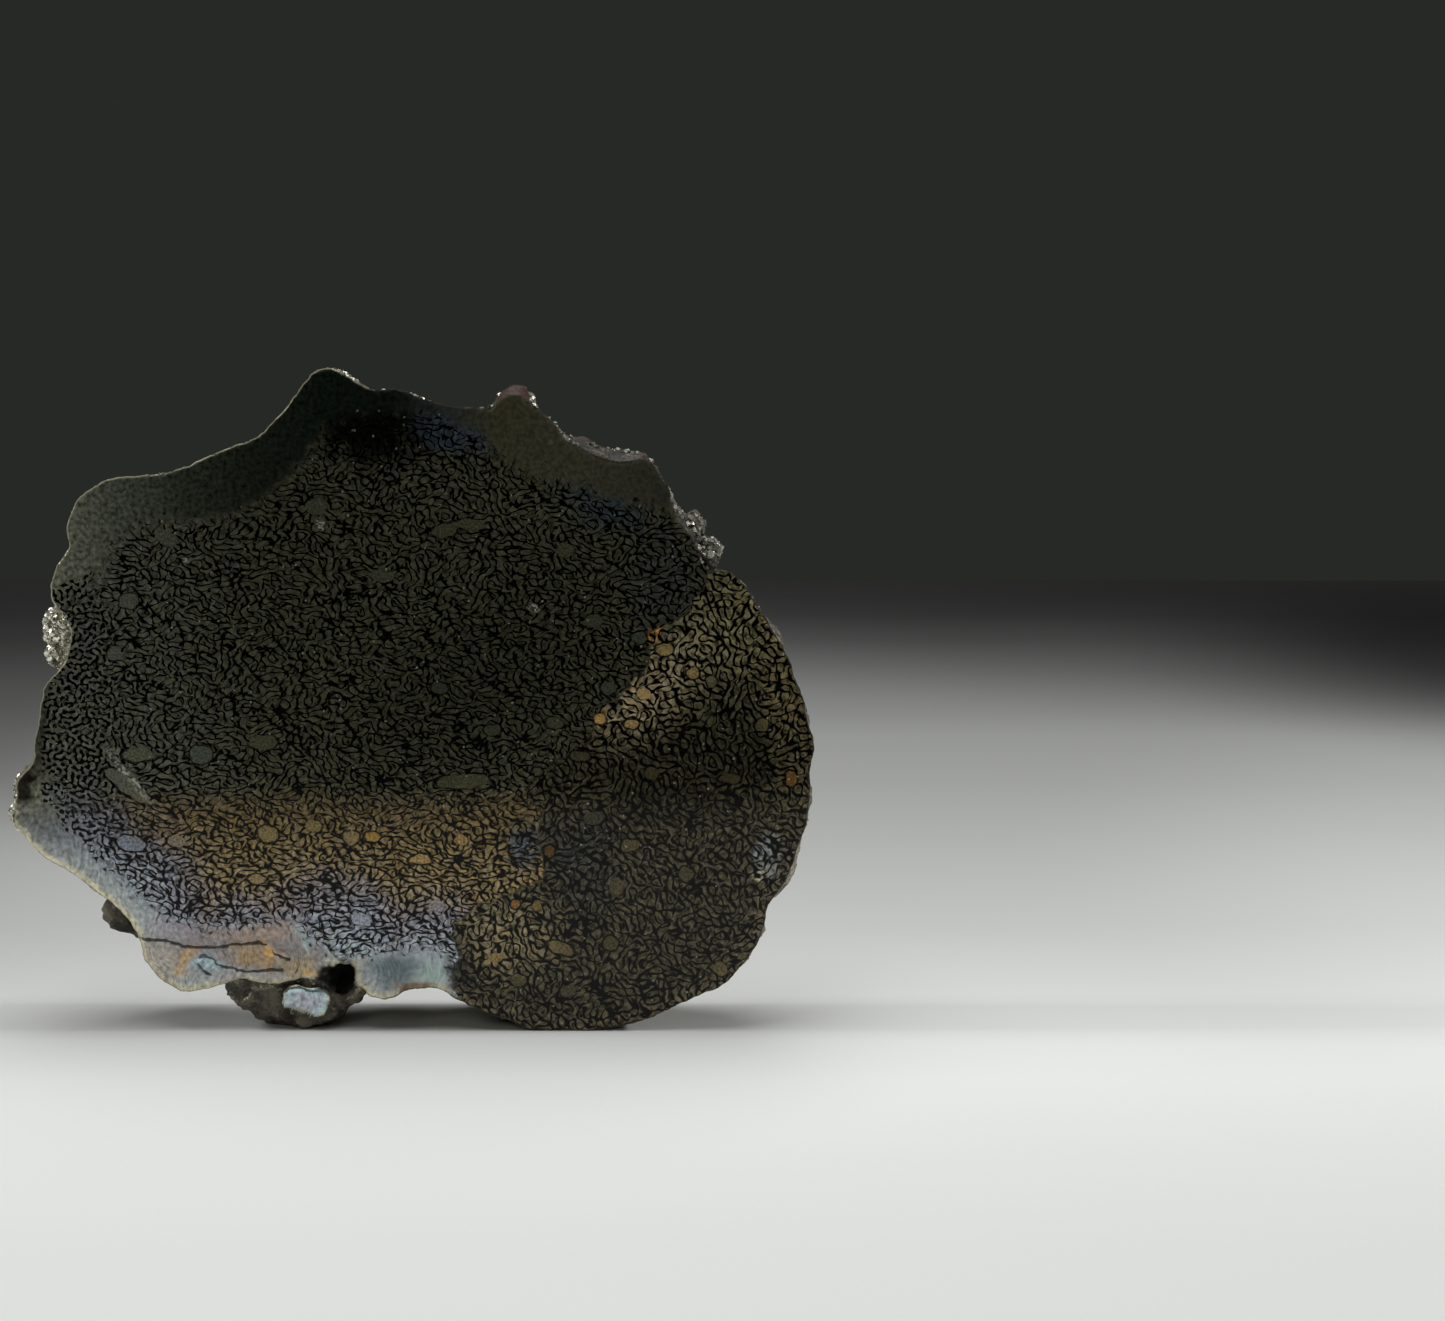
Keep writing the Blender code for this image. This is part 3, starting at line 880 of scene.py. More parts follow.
    def _close_plane(self, plane: float, grid: float) -> None:
        """Fill one sawn plane with small triangles, its edge worn back a little.

        Args:
            plane: Its y.
            grid: Distance between its points.
        """
        inward = math.copysign(1.0, -plane)
        net = CapNet()
        loops = self._loops(plane)
        for loop in loops:
            net.add_ring([(vert.co.x, vert.co.z) for vert in loop])
        owners = [vert for loop in loops for vert in loop]
        rings = [np.array([(vert.co.x, vert.co.z) for vert in loop]) for loop in loops]
        bottoms: list[Place] = []
        if plane == FACE_Y:
            self.face_rings = rings
            for crack in self.chart.cracks:
                line = self._crack_line(crack)
                net.add_ring(self._crack_strip(line))
                bottoms += line[1:-1]
        first_bottom = len(net.places)
        net.add_points(bottoms)
        net.add_points(self._inner_places(rings, grid, bottoms))
        points, faces, origins = net.fill(rings)
        groove = self.mesh.verts.layers.float["groove"]
        made = []
        for point, origin in zip(points, origins):
            owner = next((owners[index] for index in origin if index < len(owners)), None)
            if owner is None:
                sunk = any(first_bottom <= index < first_bottom + len(bottoms) for index in origin)
                depth = self.crack_depth if sunk else 0.0
                owner = self.mesh.verts.new((point.x, plane + inward * depth, point.y))
                owner[groove] = float(sunk)
            made.append(owner)
        for corners in faces:
            verts = [made[index] for index in corners]
            if len(set(verts)) == 3:
                self.mesh.faces.new(verts)
        worn_low, worn_high = self.edge_wear
        for vert in owners:
            if vert.co.z > self.plane_gap:
                share = 0.5 + 0.5 * noise.noise(vert.co / self.wear_length)
                vert.co.y = plane + inward * (worn_low + (worn_high - worn_low) * share)

    def _inner_places(self, rings: list[np.ndarray], grid: float, bottoms: list[Place]) -> list[Place]:
        """Spread places over the inside of a sawn plane.

        Args:
            rings: Its closed edges.
            grid: Distance between the places.
            bottoms: Places in the cracks, which the spread keeps clear of.

        Returns:
            A row just inside the edge, then an even grid.
        """
        corners = np.concatenate(rings)
        low, high = corners.min(0), corners.max(0)
        spread = np.array([
            (x, row)
            for index, row in enumerate(np.arange(low[1], high[1], grid * math.sqrt(0.75)))
            for x in np.arange(low[0] + grid * 0.5 * (index % 2), high[0], grid)
        ])
        depth = np.maximum.reduce([inner_distance(spread, ring) for ring in rings])
        spread = spread[depth > self.wear_width + grid * 0.45]
        row: list[Place] = []
        for ring in rings:
            along = np.roll(ring, -1, axis=0) - np.roll(ring, 1, axis=0)
            normal = np.stack([-along[:, 1], along[:, 0]], axis=1)
            normal /= np.maximum(np.hypot(*normal.T), TINY)[:, None]
            for side in (self.wear_width, -self.wear_width):
                beside = ring + normal * side
                beside = beside[inner_distance(beside, ring) > self.wear_width * 0.8]
                for place in beside.tolist():
                    if not row or math.dist(place, row[-1]) > self.wear_width * 0.8:
                        row.append(tuple(place))
        if bottoms:
            middles = np.array(bottoms)
            away = np.array([np.hypot(*(middles - place).T).min() for place in spread])
            spread = spread[away > self.crack_clearance]
        return row + [tuple(place) for place in spread.tolist()]

    def _assign_layers(self) -> None:
        """Give each face the slot of its mineral."""
        for face in self.mesh.faces:
            middle = face.calc_center_median()
            level = abs(face.normal.y) > self.cap_limit
            if level and middle.y < FACE_Y + self.edge_wear[1]:
                layer = Layer.POLISHED
            elif level and middle.y > BACK_Y - self.edge_wear[1]:
                layer = Layer.SAWN
            else:
                layer = self._layer_at(middle)
            face.material_index = layer.value
            face.smooth = True

    def _as_piece(self) -> bpy.types.Object:
        """Turn the worked mesh into the piece, with the values that its materials read.

        Returns:
            The piece.
        """
        data = bpy.data.meshes.new("slab_skin")
        self.mesh.to_mesh(data)
        spots = np.empty(len(data.vertices) * 3)
        data.vertices.foreach_get("co", spots)
        places = spots.reshape(-1, 3)[:, [0, 2]]
        rim_depth = np.maximum.reduce([inner_distance(places, ring) for ring in self.face_rings])
        vessel_depth, vessel_tone = self.chart.vessel_values(places)
        values = {
            "rim": np.maximum(rim_depth, 0.0),
            "massive": self.chart.massive_depth(places),
            "lobe": self.chart.lobe.inner_distance(places),
            "vessel": vessel_depth,
            "vessel_tone": vessel_tone,
        }
        for name, numbers in values.items():
            layer = data.attributes.new(name, "FLOAT", "POINT")
            layer.data.foreach_set("value", numbers.astype(np.float32))
        data.transform(Matrix.Scale(MM, 4))
        data.set_sharp_from_angle(angle=math.radians(self.sharp_angle))
        piece = bpy.data.objects.new("slab_skin", data)
        bpy.context.scene.collection.objects.link(piece)
        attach(piece, "root")
        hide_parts(SLAB_NODE)
        return piece

    def dress(self, piece: bpy.types.Object, finishes: dict[Layer, bpy.types.Material]) -> None:
        """Put the finishes into the piece's slots.

        Args:
            piece: The slab's surface.
            finishes: Material of each layer.
        """
        for layer in Layer:
            piece.data.materials.append(finishes[layer])


class Habit(Enum):
    """Shape of a pyrite crystal, as the corners that its hull goes round."""

    CUBE = tuple((x, y, z) for x in (-1.0, 1.0) for y in (-1.0, 1.0) for z in (-1.0, 1.0))
    OCTAHEDRON = (
        (1.7, 0.0, 0.0), (-1.7, 0.0, 0.0), (0.0, 1.7, 0.0), (0.0, -1.7, 0.0), (0.0, 0.0, 1.7),
        (0.0, 0.0, -1.7),
    )
    PYRITOHEDRON = CUBE + tuple(
        corner
        for one in (-1.5, 1.5) for other in (-0.75, 0.75)
        for corner in ((0.0, one, other), (one, other, 0.0), (other, 0.0, one))
    )


@dataclass(frozen=True)
class Growth:
    """Stretch of the rim on which crystals have grown."""

    middle: Point
    radii: Point
    count: int
    smallest: float
    largest: float
    shine: float


@dataclass
class Druse:
    """Small pyrite crystals that stand out of the rim's crust."""

    growths: tuple[Growth, ...] = (
        Growth((-60.6, -4.8, 72.8), (5.2, 5.6, 6.0), 620, 0.18, 0.46, 1.7),
        Growth((-61.8, -5.0, 67.4), (4.2, 5.2, 4.4), 360, 0.18, 0.46, 1.7),
        Growth((33.5, -3.0, 104.0), (9.5, 8.0, 4.5), 110, 0.20, 0.62, 0.3),
        Growth((49.8, -3.5, 89.5), (6.0, 9.0, 9.5), 300, 0.22, 0.60, 0.5),
        Growth((22.4, -5.0, 112.4), (1.6, 4.0, 1.8), 30, 0.20, 0.50, 1.2),
        Growth((-70.0, -5.5, 40.6), (3.4, 5.5, 5.6), 130, 0.22, 0.60, 1.0),
        Growth((-13.0, -4.5, 118.0), (5.4, 6.0, 3.2), 170, 0.22, 0.52, 0.95),
        Growth((1.5, -4.0, 114.0), (9.0, 6.0, 2.6), 60, 0.18, 0.42, 0.8),
        Growth((0.0, 0.0, 60.0), (90.0, 12.0, 90.0), 1100, 0.16, 0.50, 0.38),
    )
    buried: float = 0.25
    seed: int = 1907
    stray_keep: float = 0.46
    stray_shine: float = 0.5
    stray_patch: float = 7.0

    def build(self, skin: bpy.types.Object) -> bpy.types.Object:
        """Grow the crystals on the slab's surface.

        Args:
            skin: The slab's surface.

        Returns:
            All crystals as one piece.
        """
        dice = random.Random(self.seed)
        ground = [
            (face.center / MM, face.normal.copy(), face.area)
            for face in skin.data.polygons
            if Layer(face.material_index) in (Layer.CRUST, Layer.DRUSE)
        ]
        moulds = [self._mould(habit) for habit in Habit]
        points: list[Vector] = []
        faces: list[tuple[int, ...]] = []
        shines: list[float] = []
        low, high = (Vector(corner) / MM for corner in CAD_BOX)
        for growth in self.growths:
            lump = Lump(growth.middle, growth.radii, Layer.DRUSE)
            spots = [spot for spot in ground if lump.holds(spot[0])]
            weights = [area for _, _, area in spots]
            for middle, normal, _ in dice.choices(spots, weights, k=growth.count):
                sparse = noise.noise(middle / self.stray_patch) < self.stray_keep - 0.5
                if growth.shine < self.stray_shine and sparse:
                    continue
                size = growth.smallest + (growth.largest - growth.smallest) * dice.random() ** 2
                turn = Matrix.Rotation(dice.uniform(0.0, math.tau), 3, normal)
                lean = Vector([dice.gauss(0.0, 1.0) for _ in range(3)]).to_track_quat("Z", "Y").to_matrix()
                corners, sides = dice.choice(moulds)
                seat = middle - normal * size * self.buried
                grown = [seat + turn @ lean @ corner * size for corner in corners]
                if not all(low[a] <= corner[a] <= high[a] for corner in grown for a in range(3)):
                    continue
                first = len(points)
                points += grown
                faces += [tuple(first + index for index in side) for side in sides]
                shines += [growth.shine * dice.uniform(0.35, 1.0)] * len(grown)
        data = bpy.data.meshes.new("pyrite_druse")
        data.from_pydata([point * MM for point in points], [], faces)
        layer = data.attributes.new("shine", "FLOAT", "POINT")
        layer.data.foreach_set("value", shines)
        piece = bpy.data.objects.new("pyrite_druse", data)
        bpy.context.scene.collection.objects.link(piece)
        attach(piece, "root")
        return piece

    @staticmethod
    def _mould(habit: Habit) -> tuple[list[Vector], list[tuple[int, ...]]]:
        """Work out the sides of a crystal shape.

        Args:
            habit: The shape.

        Returns:
            Its corners, and the corners of each side.
        """
        shape = bmesh.new()
        for corner in habit.value:
            shape.verts.new(corner)
        bmesh.ops.convex_hull(shape, input=shape.verts)
        bmesh.ops.dissolve_limit(shape, angle_limit=0.02, verts=shape.verts, edges=shape.edges)
        shape.verts.index_update()
        corners = [vert.co.copy() for vert in shape.verts]
        sides = [tuple(vert.index for vert in face.verts) for face in shape.faces]
        shape.free()
        return corners, sides


@dataclass(frozen=True)
class Weave:
    """Lie of the pore pattern in one part of the bone."""

    stretch: Place
    turn: float = 0.0
    shift: Place = (0.0, 0.0)

    def lay(self, graph: Graph, place: Wire) -> Wire:
        """Turn a place on the face into a place in the pattern.

        Args:
            graph: Tree of the material.
            place: Place on the face in millimetres.

        Returns:
            The place in the pattern, bent a little.
        """
        laid = graph.node(
            "ShaderNodeMapping",
            {"vector_type": "POINT"},
            {
                "Vector": place,
                "Location": (*self.shift, 0.0),
                "Rotation": (0.0, 0.0, math.radians(self.turn)),
                "Scale": (*self.stretch, 1.0),
            },
        )
        return graph.wander(laid, 1.3, 0.34)


@dataclass(frozen=True)
class Strands:
    """Noise of one wavelength, whose slopes and hollows wind as the bone's pores do."""

    wave: float
    evenness: float
    cycles: float = 2.0

    def draw(self, graph: Graph, place: Wire) -> Wire:
        """Draw the noise.

        Args:
            graph: Tree of the material.
            place: Place in the pattern.

        Returns:
            Height from -0.5 to 0.5, the same on strong and weak strands.
        """
        sockets = {
            "Vector": place,
            "Scale": 1.0 / (self.wave * self.cycles),
            "Frequency": self.cycles,
            "Anisotropy": 0.0,
        }
        strength = graph.node("ShaderNodeTexGabor", {"gabor_type": "2D"}, sockets)
        return (strength - 0.5) / (strength.beside("Intensity") + self.evenness)


@dataclass(frozen=True)
class PoreNet:
    """Black filled pores between the bone's struts: long winding lines, and short ones between them."""

    lines: Strands = Strands(2.0, 0.08)
    links: Strands = Strands(1.6, 0.05)
    line_soft: float = 0.09
    link_soft: float = 0.09

    def draw(
        self, graph: Graph, line_place: Wire, link_place: Wire, width: float | Wire, reach: float | Wire
    ) -> tuple[Wire, Wire]:
        """Draw the pores.

        Args:
            graph: Tree of the material.
            line_place: Place in the pattern of the long lines.
            link_place: Place in the pattern of the short ones.
            width: Half width of the long lines, none from -0.05 down.
            reach: Level under which the short ones are black, none from -0.6 down.

        Returns:
            Mask of the pores, and distance from the nearest long line.
        """
        away = self.lines.draw(graph, line_place).size() - width
        long_lines = away.step(-self.line_soft, self.line_soft, 1.0, 0.0)
        short = (self.links.draw(graph, link_place) - reach).step(-self.link_soft, self.link_soft, 1.0, 0.0)
        return long_lines.most(short), away


@dataclass(frozen=True)
class PolishedBone:
    """Polished section of the bone: metallic struts in a black network, and massive pyrite round it."""

    net: PoreNet = PoreNet()
    field_weave: Weave = Weave((0.84, 1.14))
    lobe_weave: Weave = Weave((0.90, 0.90), 0.0, (9.0, 63.0))
    field_links: Weave = Weave((0.82, 1.08), 40.0, (13.0, 5.0))
    lobe_links: Weave = Weave((0.86, 0.86), 40.0, (71.0, 15.0))
    fine_links: Weave = Weave((1.42, 1.52), 25.0, (33.0, 45.0))
    field_width: float = 0.22
    lobe_width: float = 0.24
    field_reach: float = -0.345
    lobe_reach: float = -0.37
    fine_reach: float = -0.005
    line_tint: Colour = (0.0008, 0.0008, 0.0006)
    lower_line_tint: Colour = (0.014, 0.0135, 0.013)
    shade_tint: Colour = (0.134, 0.131, 0.086)
    # Upper field colour at its left end, lightened there by a painted sheen.
    left_sheen_tint: Colour = (0.235, 0.24, 0.19)
    gilt_tint: Colour = (0.30, 0.205, 0.065)
    groove_tint: Colour = (0.012, 0.010, 0.008)
    # Colours of the face's edge band: a painted highlight on the left, and a dull dark edge on the right.
    edge_highlight_tint: Colour = (0.46, 0.43, 0.30)
    dull_edge: Colour = (0.030, 0.026, 0.018)
    # Painted shade: the hollow of the pit is coloured dark.
    pit_shade: Area = Area((-13.2, 9.6), (4.0, 3.9), 10.0, 0.3)
    pit_shade_tint: Colour = (0.010, 0.008, 0.006)
    glint_tint: Colour = (0.55, 0.54, 0.46)
    glint_spacing: float = 2.1
    strongest_tint: float = 2.0
    tone_swing: float = 2.3
    lobe_swing: float = 1.0
    speckle_swing: float = 2.0
    cell_metal: float = 0.62
    upper_metal: float = 0.55
    smoothest: float = 0.12
    gilt_share: float = 0.65
    tarnish_reach: float = 34.0
    shore_reach: float = 9.0
    border_start: float = -64.0
    border_length: float = 112.0
    reflection_level: float = 0.08

    def dress(self) -> bpy.types.Material:
        """Make the material.

        Returns:
            The material.
        """
        graph = Graph("polished_bone")
        spot = graph.millimetres()
        x, height = spot.part(0), spot.part(2)
        flat = graph.on_face(spot)
        rim = graph.attribute("rim")
        ragged = graph.grain(flat, 2.4, 2.0, "2D") - 0.5
        broad = graph.grain(flat, 11.0, 2.0, "2D") - 0.5
        drift = graph.wander(flat, 3.5, 1.6, 2.0)
        massive = graph.attribute("massive") + ragged * 3.0
        solid = massive.step(-0.1, 0.6)
        bordering = massive.step(-2.4, 0.7)
        lobe = (graph.attribute("lobe") + ragged * 3.2 + broad * 5.0).step(-0.2, 0.2)
        vessel_depth = graph.attribute("vessel") + ragged * 1.1
        vessel = vessel_depth.step(-0.08, 0.10) * (1 - solid)

        pores, away = self._pores(graph, flat, massive, lobe)
        outline = vessel_depth.step(-0.40, -0.28) * broad.step(-0.12, 0.02)
        pores = (pores.most(outline * 0.9) * (1 - vessel)) * (1 - solid)

        upper = (height + broad * 3.0).step(39.0, 46.0)
        base = self._field_tones(graph, drift, x, rim + broad * 7.0, upper, away)
        metal = graph.fade(upper, self.cell_metal, self.upper_metal)
        lobe_base = self._lobe_tones(graph, flat, drift, height, rim)
        on_lobe = lobe * (1 - solid)
        base = graph.mix(on_lobe, base, lobe_base)
        metal = metal * (1 - on_lobe)
        base = graph.mix(vessel, base, base * self._vessel_tints(graph))
        cells = (1 - solid) * (1 - vessel)
        base = base * self._cell_lights(graph, flat, cells, away, on_lobe)

        massive_base, massive_metal = self._massive_tones(graph, flat, drift, x, height, rim)
        base = graph.mix(bordering, base, massive_base)
        metal = graph.fade(bordering, metal, massive_metal)
        base = graph.mix(pores, base, graph.mix(upper, self.lower_line_tint, self.line_tint))
        metal = metal * (1 - pores)
        roughness = self.smoothest + graph.grain(flat, 5.0, 3.0, "2D") * 0.10 + pores * 0.08

        glints = self._glints(graph, flat, drift) * (1 - solid)
        base = graph.mix(glints * 0.85, base, self.glint_tint)
        # Painted highlight: the worn edge band of the face is a bright line on the left, where the light
        # catches it, and dull and dark on the right.
        worn_and_lit_edge = (rim + ragged * 0.25).step(0.08, 0.34, 1.0, 0.0)
        edge_highlight_share = x.step(-12.0, -2.0, 1.0, 0.05)
        base = graph.mix(worn_and_lit_edge * 0.8, base, graph.mix(edge_highlight_share, self.dull_edge, self.edge_highlight_tint))
        metal = metal * (1 - worn_and_lit_edge * (1 - edge_highlight_share))
        # Painted shade: the face is made dark in the pit's hollow.
        pit_shade = graph.patch(drift, self.pit_shade)
        base = graph.mix(pit_shade, base, self.pit_shade_tint)
        metal = metal * (1 - pit_shade)
        groove = graph.attribute("groove").step(0.15, 0.60)
        base = graph.mix(groove, base, self.groove_tint)
        normal = graph.bump(graph.grain(flat, 1.6, 2.0, "2D"), 0.12, 0.05)
        return graph.finish({
            "Base Color": base,
            "Metallic": metal * (1 - groove),
            "Roughness": roughness + worn_and_lit_edge * 0.2 + groove * 0.6,
            "Normal": normal,
            "Specular IOR Level": self.reflection_level,
        })

    def _pores(self, graph: Graph, flat: Wire, massive: Wire, lobe: Wire) -> tuple[Wire, Wire]:
        """Draw the pores of the whole face: fine on the left, thicker in the lobe on the right.

        Args:
            graph: Tree of the material.
            flat: Place on the face in millimetres.
            massive: Distance inside the massive pyrite, below 0 in the bone.
            lobe: 1 in the lobe.

        Returns:
            Mask of the pores, and distance from the nearest long line.
        """
        fine = graph.patch(graph.wander(flat, 4.0, 2.5), Area((-62.0, 56.0), (13.5, 33.0), 0.0, 0.04))
        line_place = graph.mix(lobe, self.field_weave.lay(graph, flat), self.lobe_weave.lay(graph, flat))
        link_place = graph.mix(lobe, self.field_links.lay(graph, flat), self.lobe_links.lay(graph, flat))
        link_place = graph.mix(fine, link_place, self.fine_links.lay(graph, flat))
        fading = massive.step(-3.2, 0.5)
        width = graph.fade(lobe, self.field_width, self.lobe_width) * (1 - fading * 1.1) - fine * 0.36
        reach = graph.fade(fine, graph.fade(lobe, self.field_reach, self.lobe_reach), self.fine_reach)
        return self.net.draw(graph, line_place, link_place, width, reach - fading * 0.06)

    def _field_tones(
        self, graph: Graph, drift: Wire, x: Wire, depth: Wire, upper: Wire, away: Wire
    ) -> Wire:
        """Colour the struts of the main field: olive grey above, made lighter towards the left end by a
        painted sheen, and tarnished gold to blue below.

        Args:
            graph: Tree of the material.
            drift: Place on the face, bent so that the stains' borders wander.
            x: First component of the place.
            depth: Distance from the face's edge, uneven.
            upper: 1 in the upper part.
            away: Distance from the nearest long line.

        Returns:
            Base colour.
        """
        tarnish = graph.node(
            "ShaderNodeValToRGB",
            {"stops": (
                (0.00, (0.37, 0.42, 0.43)), (0.14, (0.33, 0.37, 0.41)), (0.30, (0.27, 0.27, 0.31)),
                (0.42, (0.25, 0.22, 0.22)), (0.56, (0.25, 0.212, 0.165)), (0.72, (0.25, 0.205, 0.142)),
                (1.00, (0.24, 0.198, 0.135)),
            )},
            {"Fac": depth / self.tarnish_reach},
        )
        gilt = away.step(0.05, 0.32, 1.0, 0.0) * depth.step(12.0, 19.0)
        tarnish = graph.mix(gilt * self.gilt_share, tarnish, self.gilt_tint)
        # Painted sheen: the upper field gets lighter towards its left end.
        left_sheen = x.step(-64.0, -20.0, 1.0, 0.0)
        upper_tone_and_sheen = graph.mix(left_sheen, self.shade_tint, self.left_sheen_tint)
        base = graph.mix(upper, tarnish, upper_tone_and_sheen)
        stains = (
            Stain(Area((-5.0, 108.5), (11.0, 7.0), -6.0, 0.5), (0.005, 0.007, 0.005), 0.98),
            Stain(Area((9.6, 107.4), (6.8, 3.6), -14.0, 0.5), (0.085, 0.120, 0.175), 0.8),
            Stain(Area((35.0, 94.6), (7.5, 3.4), -20.0, 0.6), (0.062, 0.098, 0.130), 0.8),
            Stain(Area((20.6, 34.0), (3.0, 3.8), 0.0, 0.5), (0.075, 0.10, 0.13), 0.85),
            Stain(Area((46.0, 80.0), (6.0, 9.0), 20.0, 0.8), (0.085, 0.10, 0.105), 0.5),
            Stain(Area((17.0, 96.5), (14.0, 4.5), -6.0, 0.8), (0.175, 0.17, 0.115), 0.6),
            Stain(Area((13.0, 63.0), (24.0, 13.0), 37.0, 0.6), (0.080, 0.079, 0.051), 0.75),
        )
        return graph.stained(base, drift, stains)

    def _vessel_tints(self, graph: Graph) -> Wire:
        """Choose the tints of the filled vessels.

        Args:
            graph: Tree of the material.

        Returns:
            What the colour round a vessel is multiplied by inside it.
        """
        tints = {
            Grey.ASH: (1.06, 1.08, 1.06), Grey.BLUE: (0.98, 1.08, 1.12), Grey.LILAC: (1.02, 1.00, 1.03),
            Grey.OLIVE: (1.08, 1.10, 0.92), Grey.TAN: (1.45, 1.32, 1.05), Grey.GOLD: (1.50, 1.26, 0.84),
            Grey.ORANGE: (1.80, 1.10, 0.55),
        }
        stops = tuple(
            (grey.value, tuple(part / self.strongest_tint for part in tint)) for grey, tint in tints.items()
        )
        tone = graph.node("ShaderNodeValToRGB", {"stops": stops}, {"Fac": graph.attribute("vessel_tone")})
        return tone * self.strongest_tint

    def _cell_lights(self, graph: Graph, flat: Wire, cells: Wire, away: Wire, lobe: Wire) -> Wire:
        """Vary the brightness and the warmth of the struts.

        Args:
            graph: Tree of the material.
            flat: Place on the face in millimetres.
            cells: 1 where there are struts.
            away: Distance from the nearest long line.
            lobe: 1 in the lobe.

        Returns:
            What the base colour is multiplied by.
        """
        tone = graph.grain(flat, 1.1, 1.0, "2D") - 0.5
        hue = graph.grain(flat + (60.0, 20.0, 0.0), 2.6, 1.0, "2D")
        speckle = graph.grain(flat, 0.42, 2.0, "2D") - 0.5
        lit_edge = away.step(0.04, 0.16, 1.0, 0.0) * (0.10 + lobe * 0.35)
        swing = self.tone_swing + lobe * self.lobe_swing
        light = 1 + (tone * swing + lit_edge) * cells + speckle * (self.speckle_swing - cells * 0.8)
        warmth = graph.mix(hue.step(0.35, 0.65) * cells, (0.98, 1.0, 1.03), (1.03, 1.0, 0.94))
        return warmth * light

    def _glints(self, graph: Graph, flat: Wire, drift: Wire) -> Wire:
        """Mask the small crystal faces that flash here and there, and the beads beside one vessel.

        Args:
            graph: Tree of the material.
            flat: Place on the face in millimetres.
            drift: The same place, bent.

        Returns:
            1 on a glint.
        """
        distance = graph.cells(graph.wander(flat, 0.7, 0.25), self.glint_spacing, "2D")
        chance = distance.beside("Color").part(2)
        mask = (distance * self.glint_spacing).step(0.04, 0.26, 0.8, 0.0) * chance.step(0.74, 0.95)
        beads = graph.grain(flat, 0.6, 0.0, "2D").step(0.46, 0.58)
        for area in (
            Area((-49.2, 46.4), (6.0, 0.7), -52.0, 0.3), Area((-38.0, 85.0), (0.6, 0.5), 0.4),
            Area((-14.2, 91.3), (0.7, 1.0), 30.0, 0.5), Area((22.6, 76.6), (1.0, 0.6), -20.0, 0.5),
        ):
            mask = mask.most(graph.patch(flat + (drift - flat) * 0.2, area) * (0.1 + beads * 0.9))
        return mask

    def _massive_tones(
        self, graph: Graph, flat: Wire, drift: Wire, x: Wire, height: Wire, rim: Wire
    ) -> tuple[Wire, Wire]:
        """Colour the massive pyrite that frames the bone, with a painted sheen at the left end of the upper
        band and a painted highlight along the rim of the lower band.

        Args:
            graph: Tree of the material.
            flat: Place on the face in millimetres.
            drift: The same place, bent so that the stains' borders wander.
            x: First component of the place.
            height: Second component of the place.
            rim: Distance from the face's edge.

        Returns:
            Base colour and metallic share.
        """
        fibre_place = graph.node(
            "ShaderNodeMapping",
            {"vector_type": "POINT"},
            {
                "Vector": graph.wander(flat, 8.0, 4.0),
                "Rotation": (0.0, 0.0, math.radians(20.0)),
                "Scale": (2.6, 0.6, 1.0),
            },
        )
        fibres = graph.grain(fibre_place, 1.5, 4.0, "2D") - 0.5
        mottle = graph.grain(flat, 0.8, 3.0, "2D") - 0.5
        # Colour of the upper band along x; its light left end is a painted sheen.
        along = graph.node(
            "ShaderNodeValToRGB",
            {"stops": (
                (0.00, (0.27, 0.27, 0.20)), (0.06, (0.21, 0.215, 0.16)), (0.12, (0.125, 0.135, 0.105)),
                (0.23, (0.048, 0.054, 0.038)), (0.34, (0.022, 0.027, 0.018)), (0.46, (0.011, 0.018, 0.012)),
                (0.56, (0.012, 0.015, 0.012)), (0.64, (0.045, 0.052, 0.050)),
                (0.72, (0.085, 0.082, 0.046)), (0.84, (0.092, 0.088, 0.056)), (1.00, (0.055, 0.055, 0.042)),
            )},
            {"Fac": (x - self.border_start) / self.border_length},
        )
        # Colour of the lower band by distance from the rim; its bright gold first stops are a painted
        # highlight along the rim, and the tarnish colours lie further in.
        shore = graph.node(
            "ShaderNodeValToRGB",
            {"stops": (
                (0.00, (0.66, 0.60, 0.42)), (0.07, (0.56, 0.53, 0.40)), (0.16, (0.40, 0.42, 0.41)),
                (0.40, (0.35, 0.385, 0.40)), (0.70, (0.34, 0.365, 0.41)), (1.00, (0.31, 0.31, 0.365)),
            )},
            {"Fac": rim / self.shore_reach},
        )
        lower = height.step(36.0, 44.0, 1.0, 0.0)
        duller = height.step(31.0, 40.0)
        shore = graph.mix(duller * 0.6, shore, (0.20, 0.205, 0.185))
        edge_dark = height.step(42.0, 50.0) * height.step(60.0, 68.0, 1.0, 0.0)
        base = graph.mix(lower, along, shore)
        base = graph.mix(edge_dark * 0.9, base, (0.05, 0.05, 0.036))
        metal = graph.fade(lower, 0.2, 0.78)
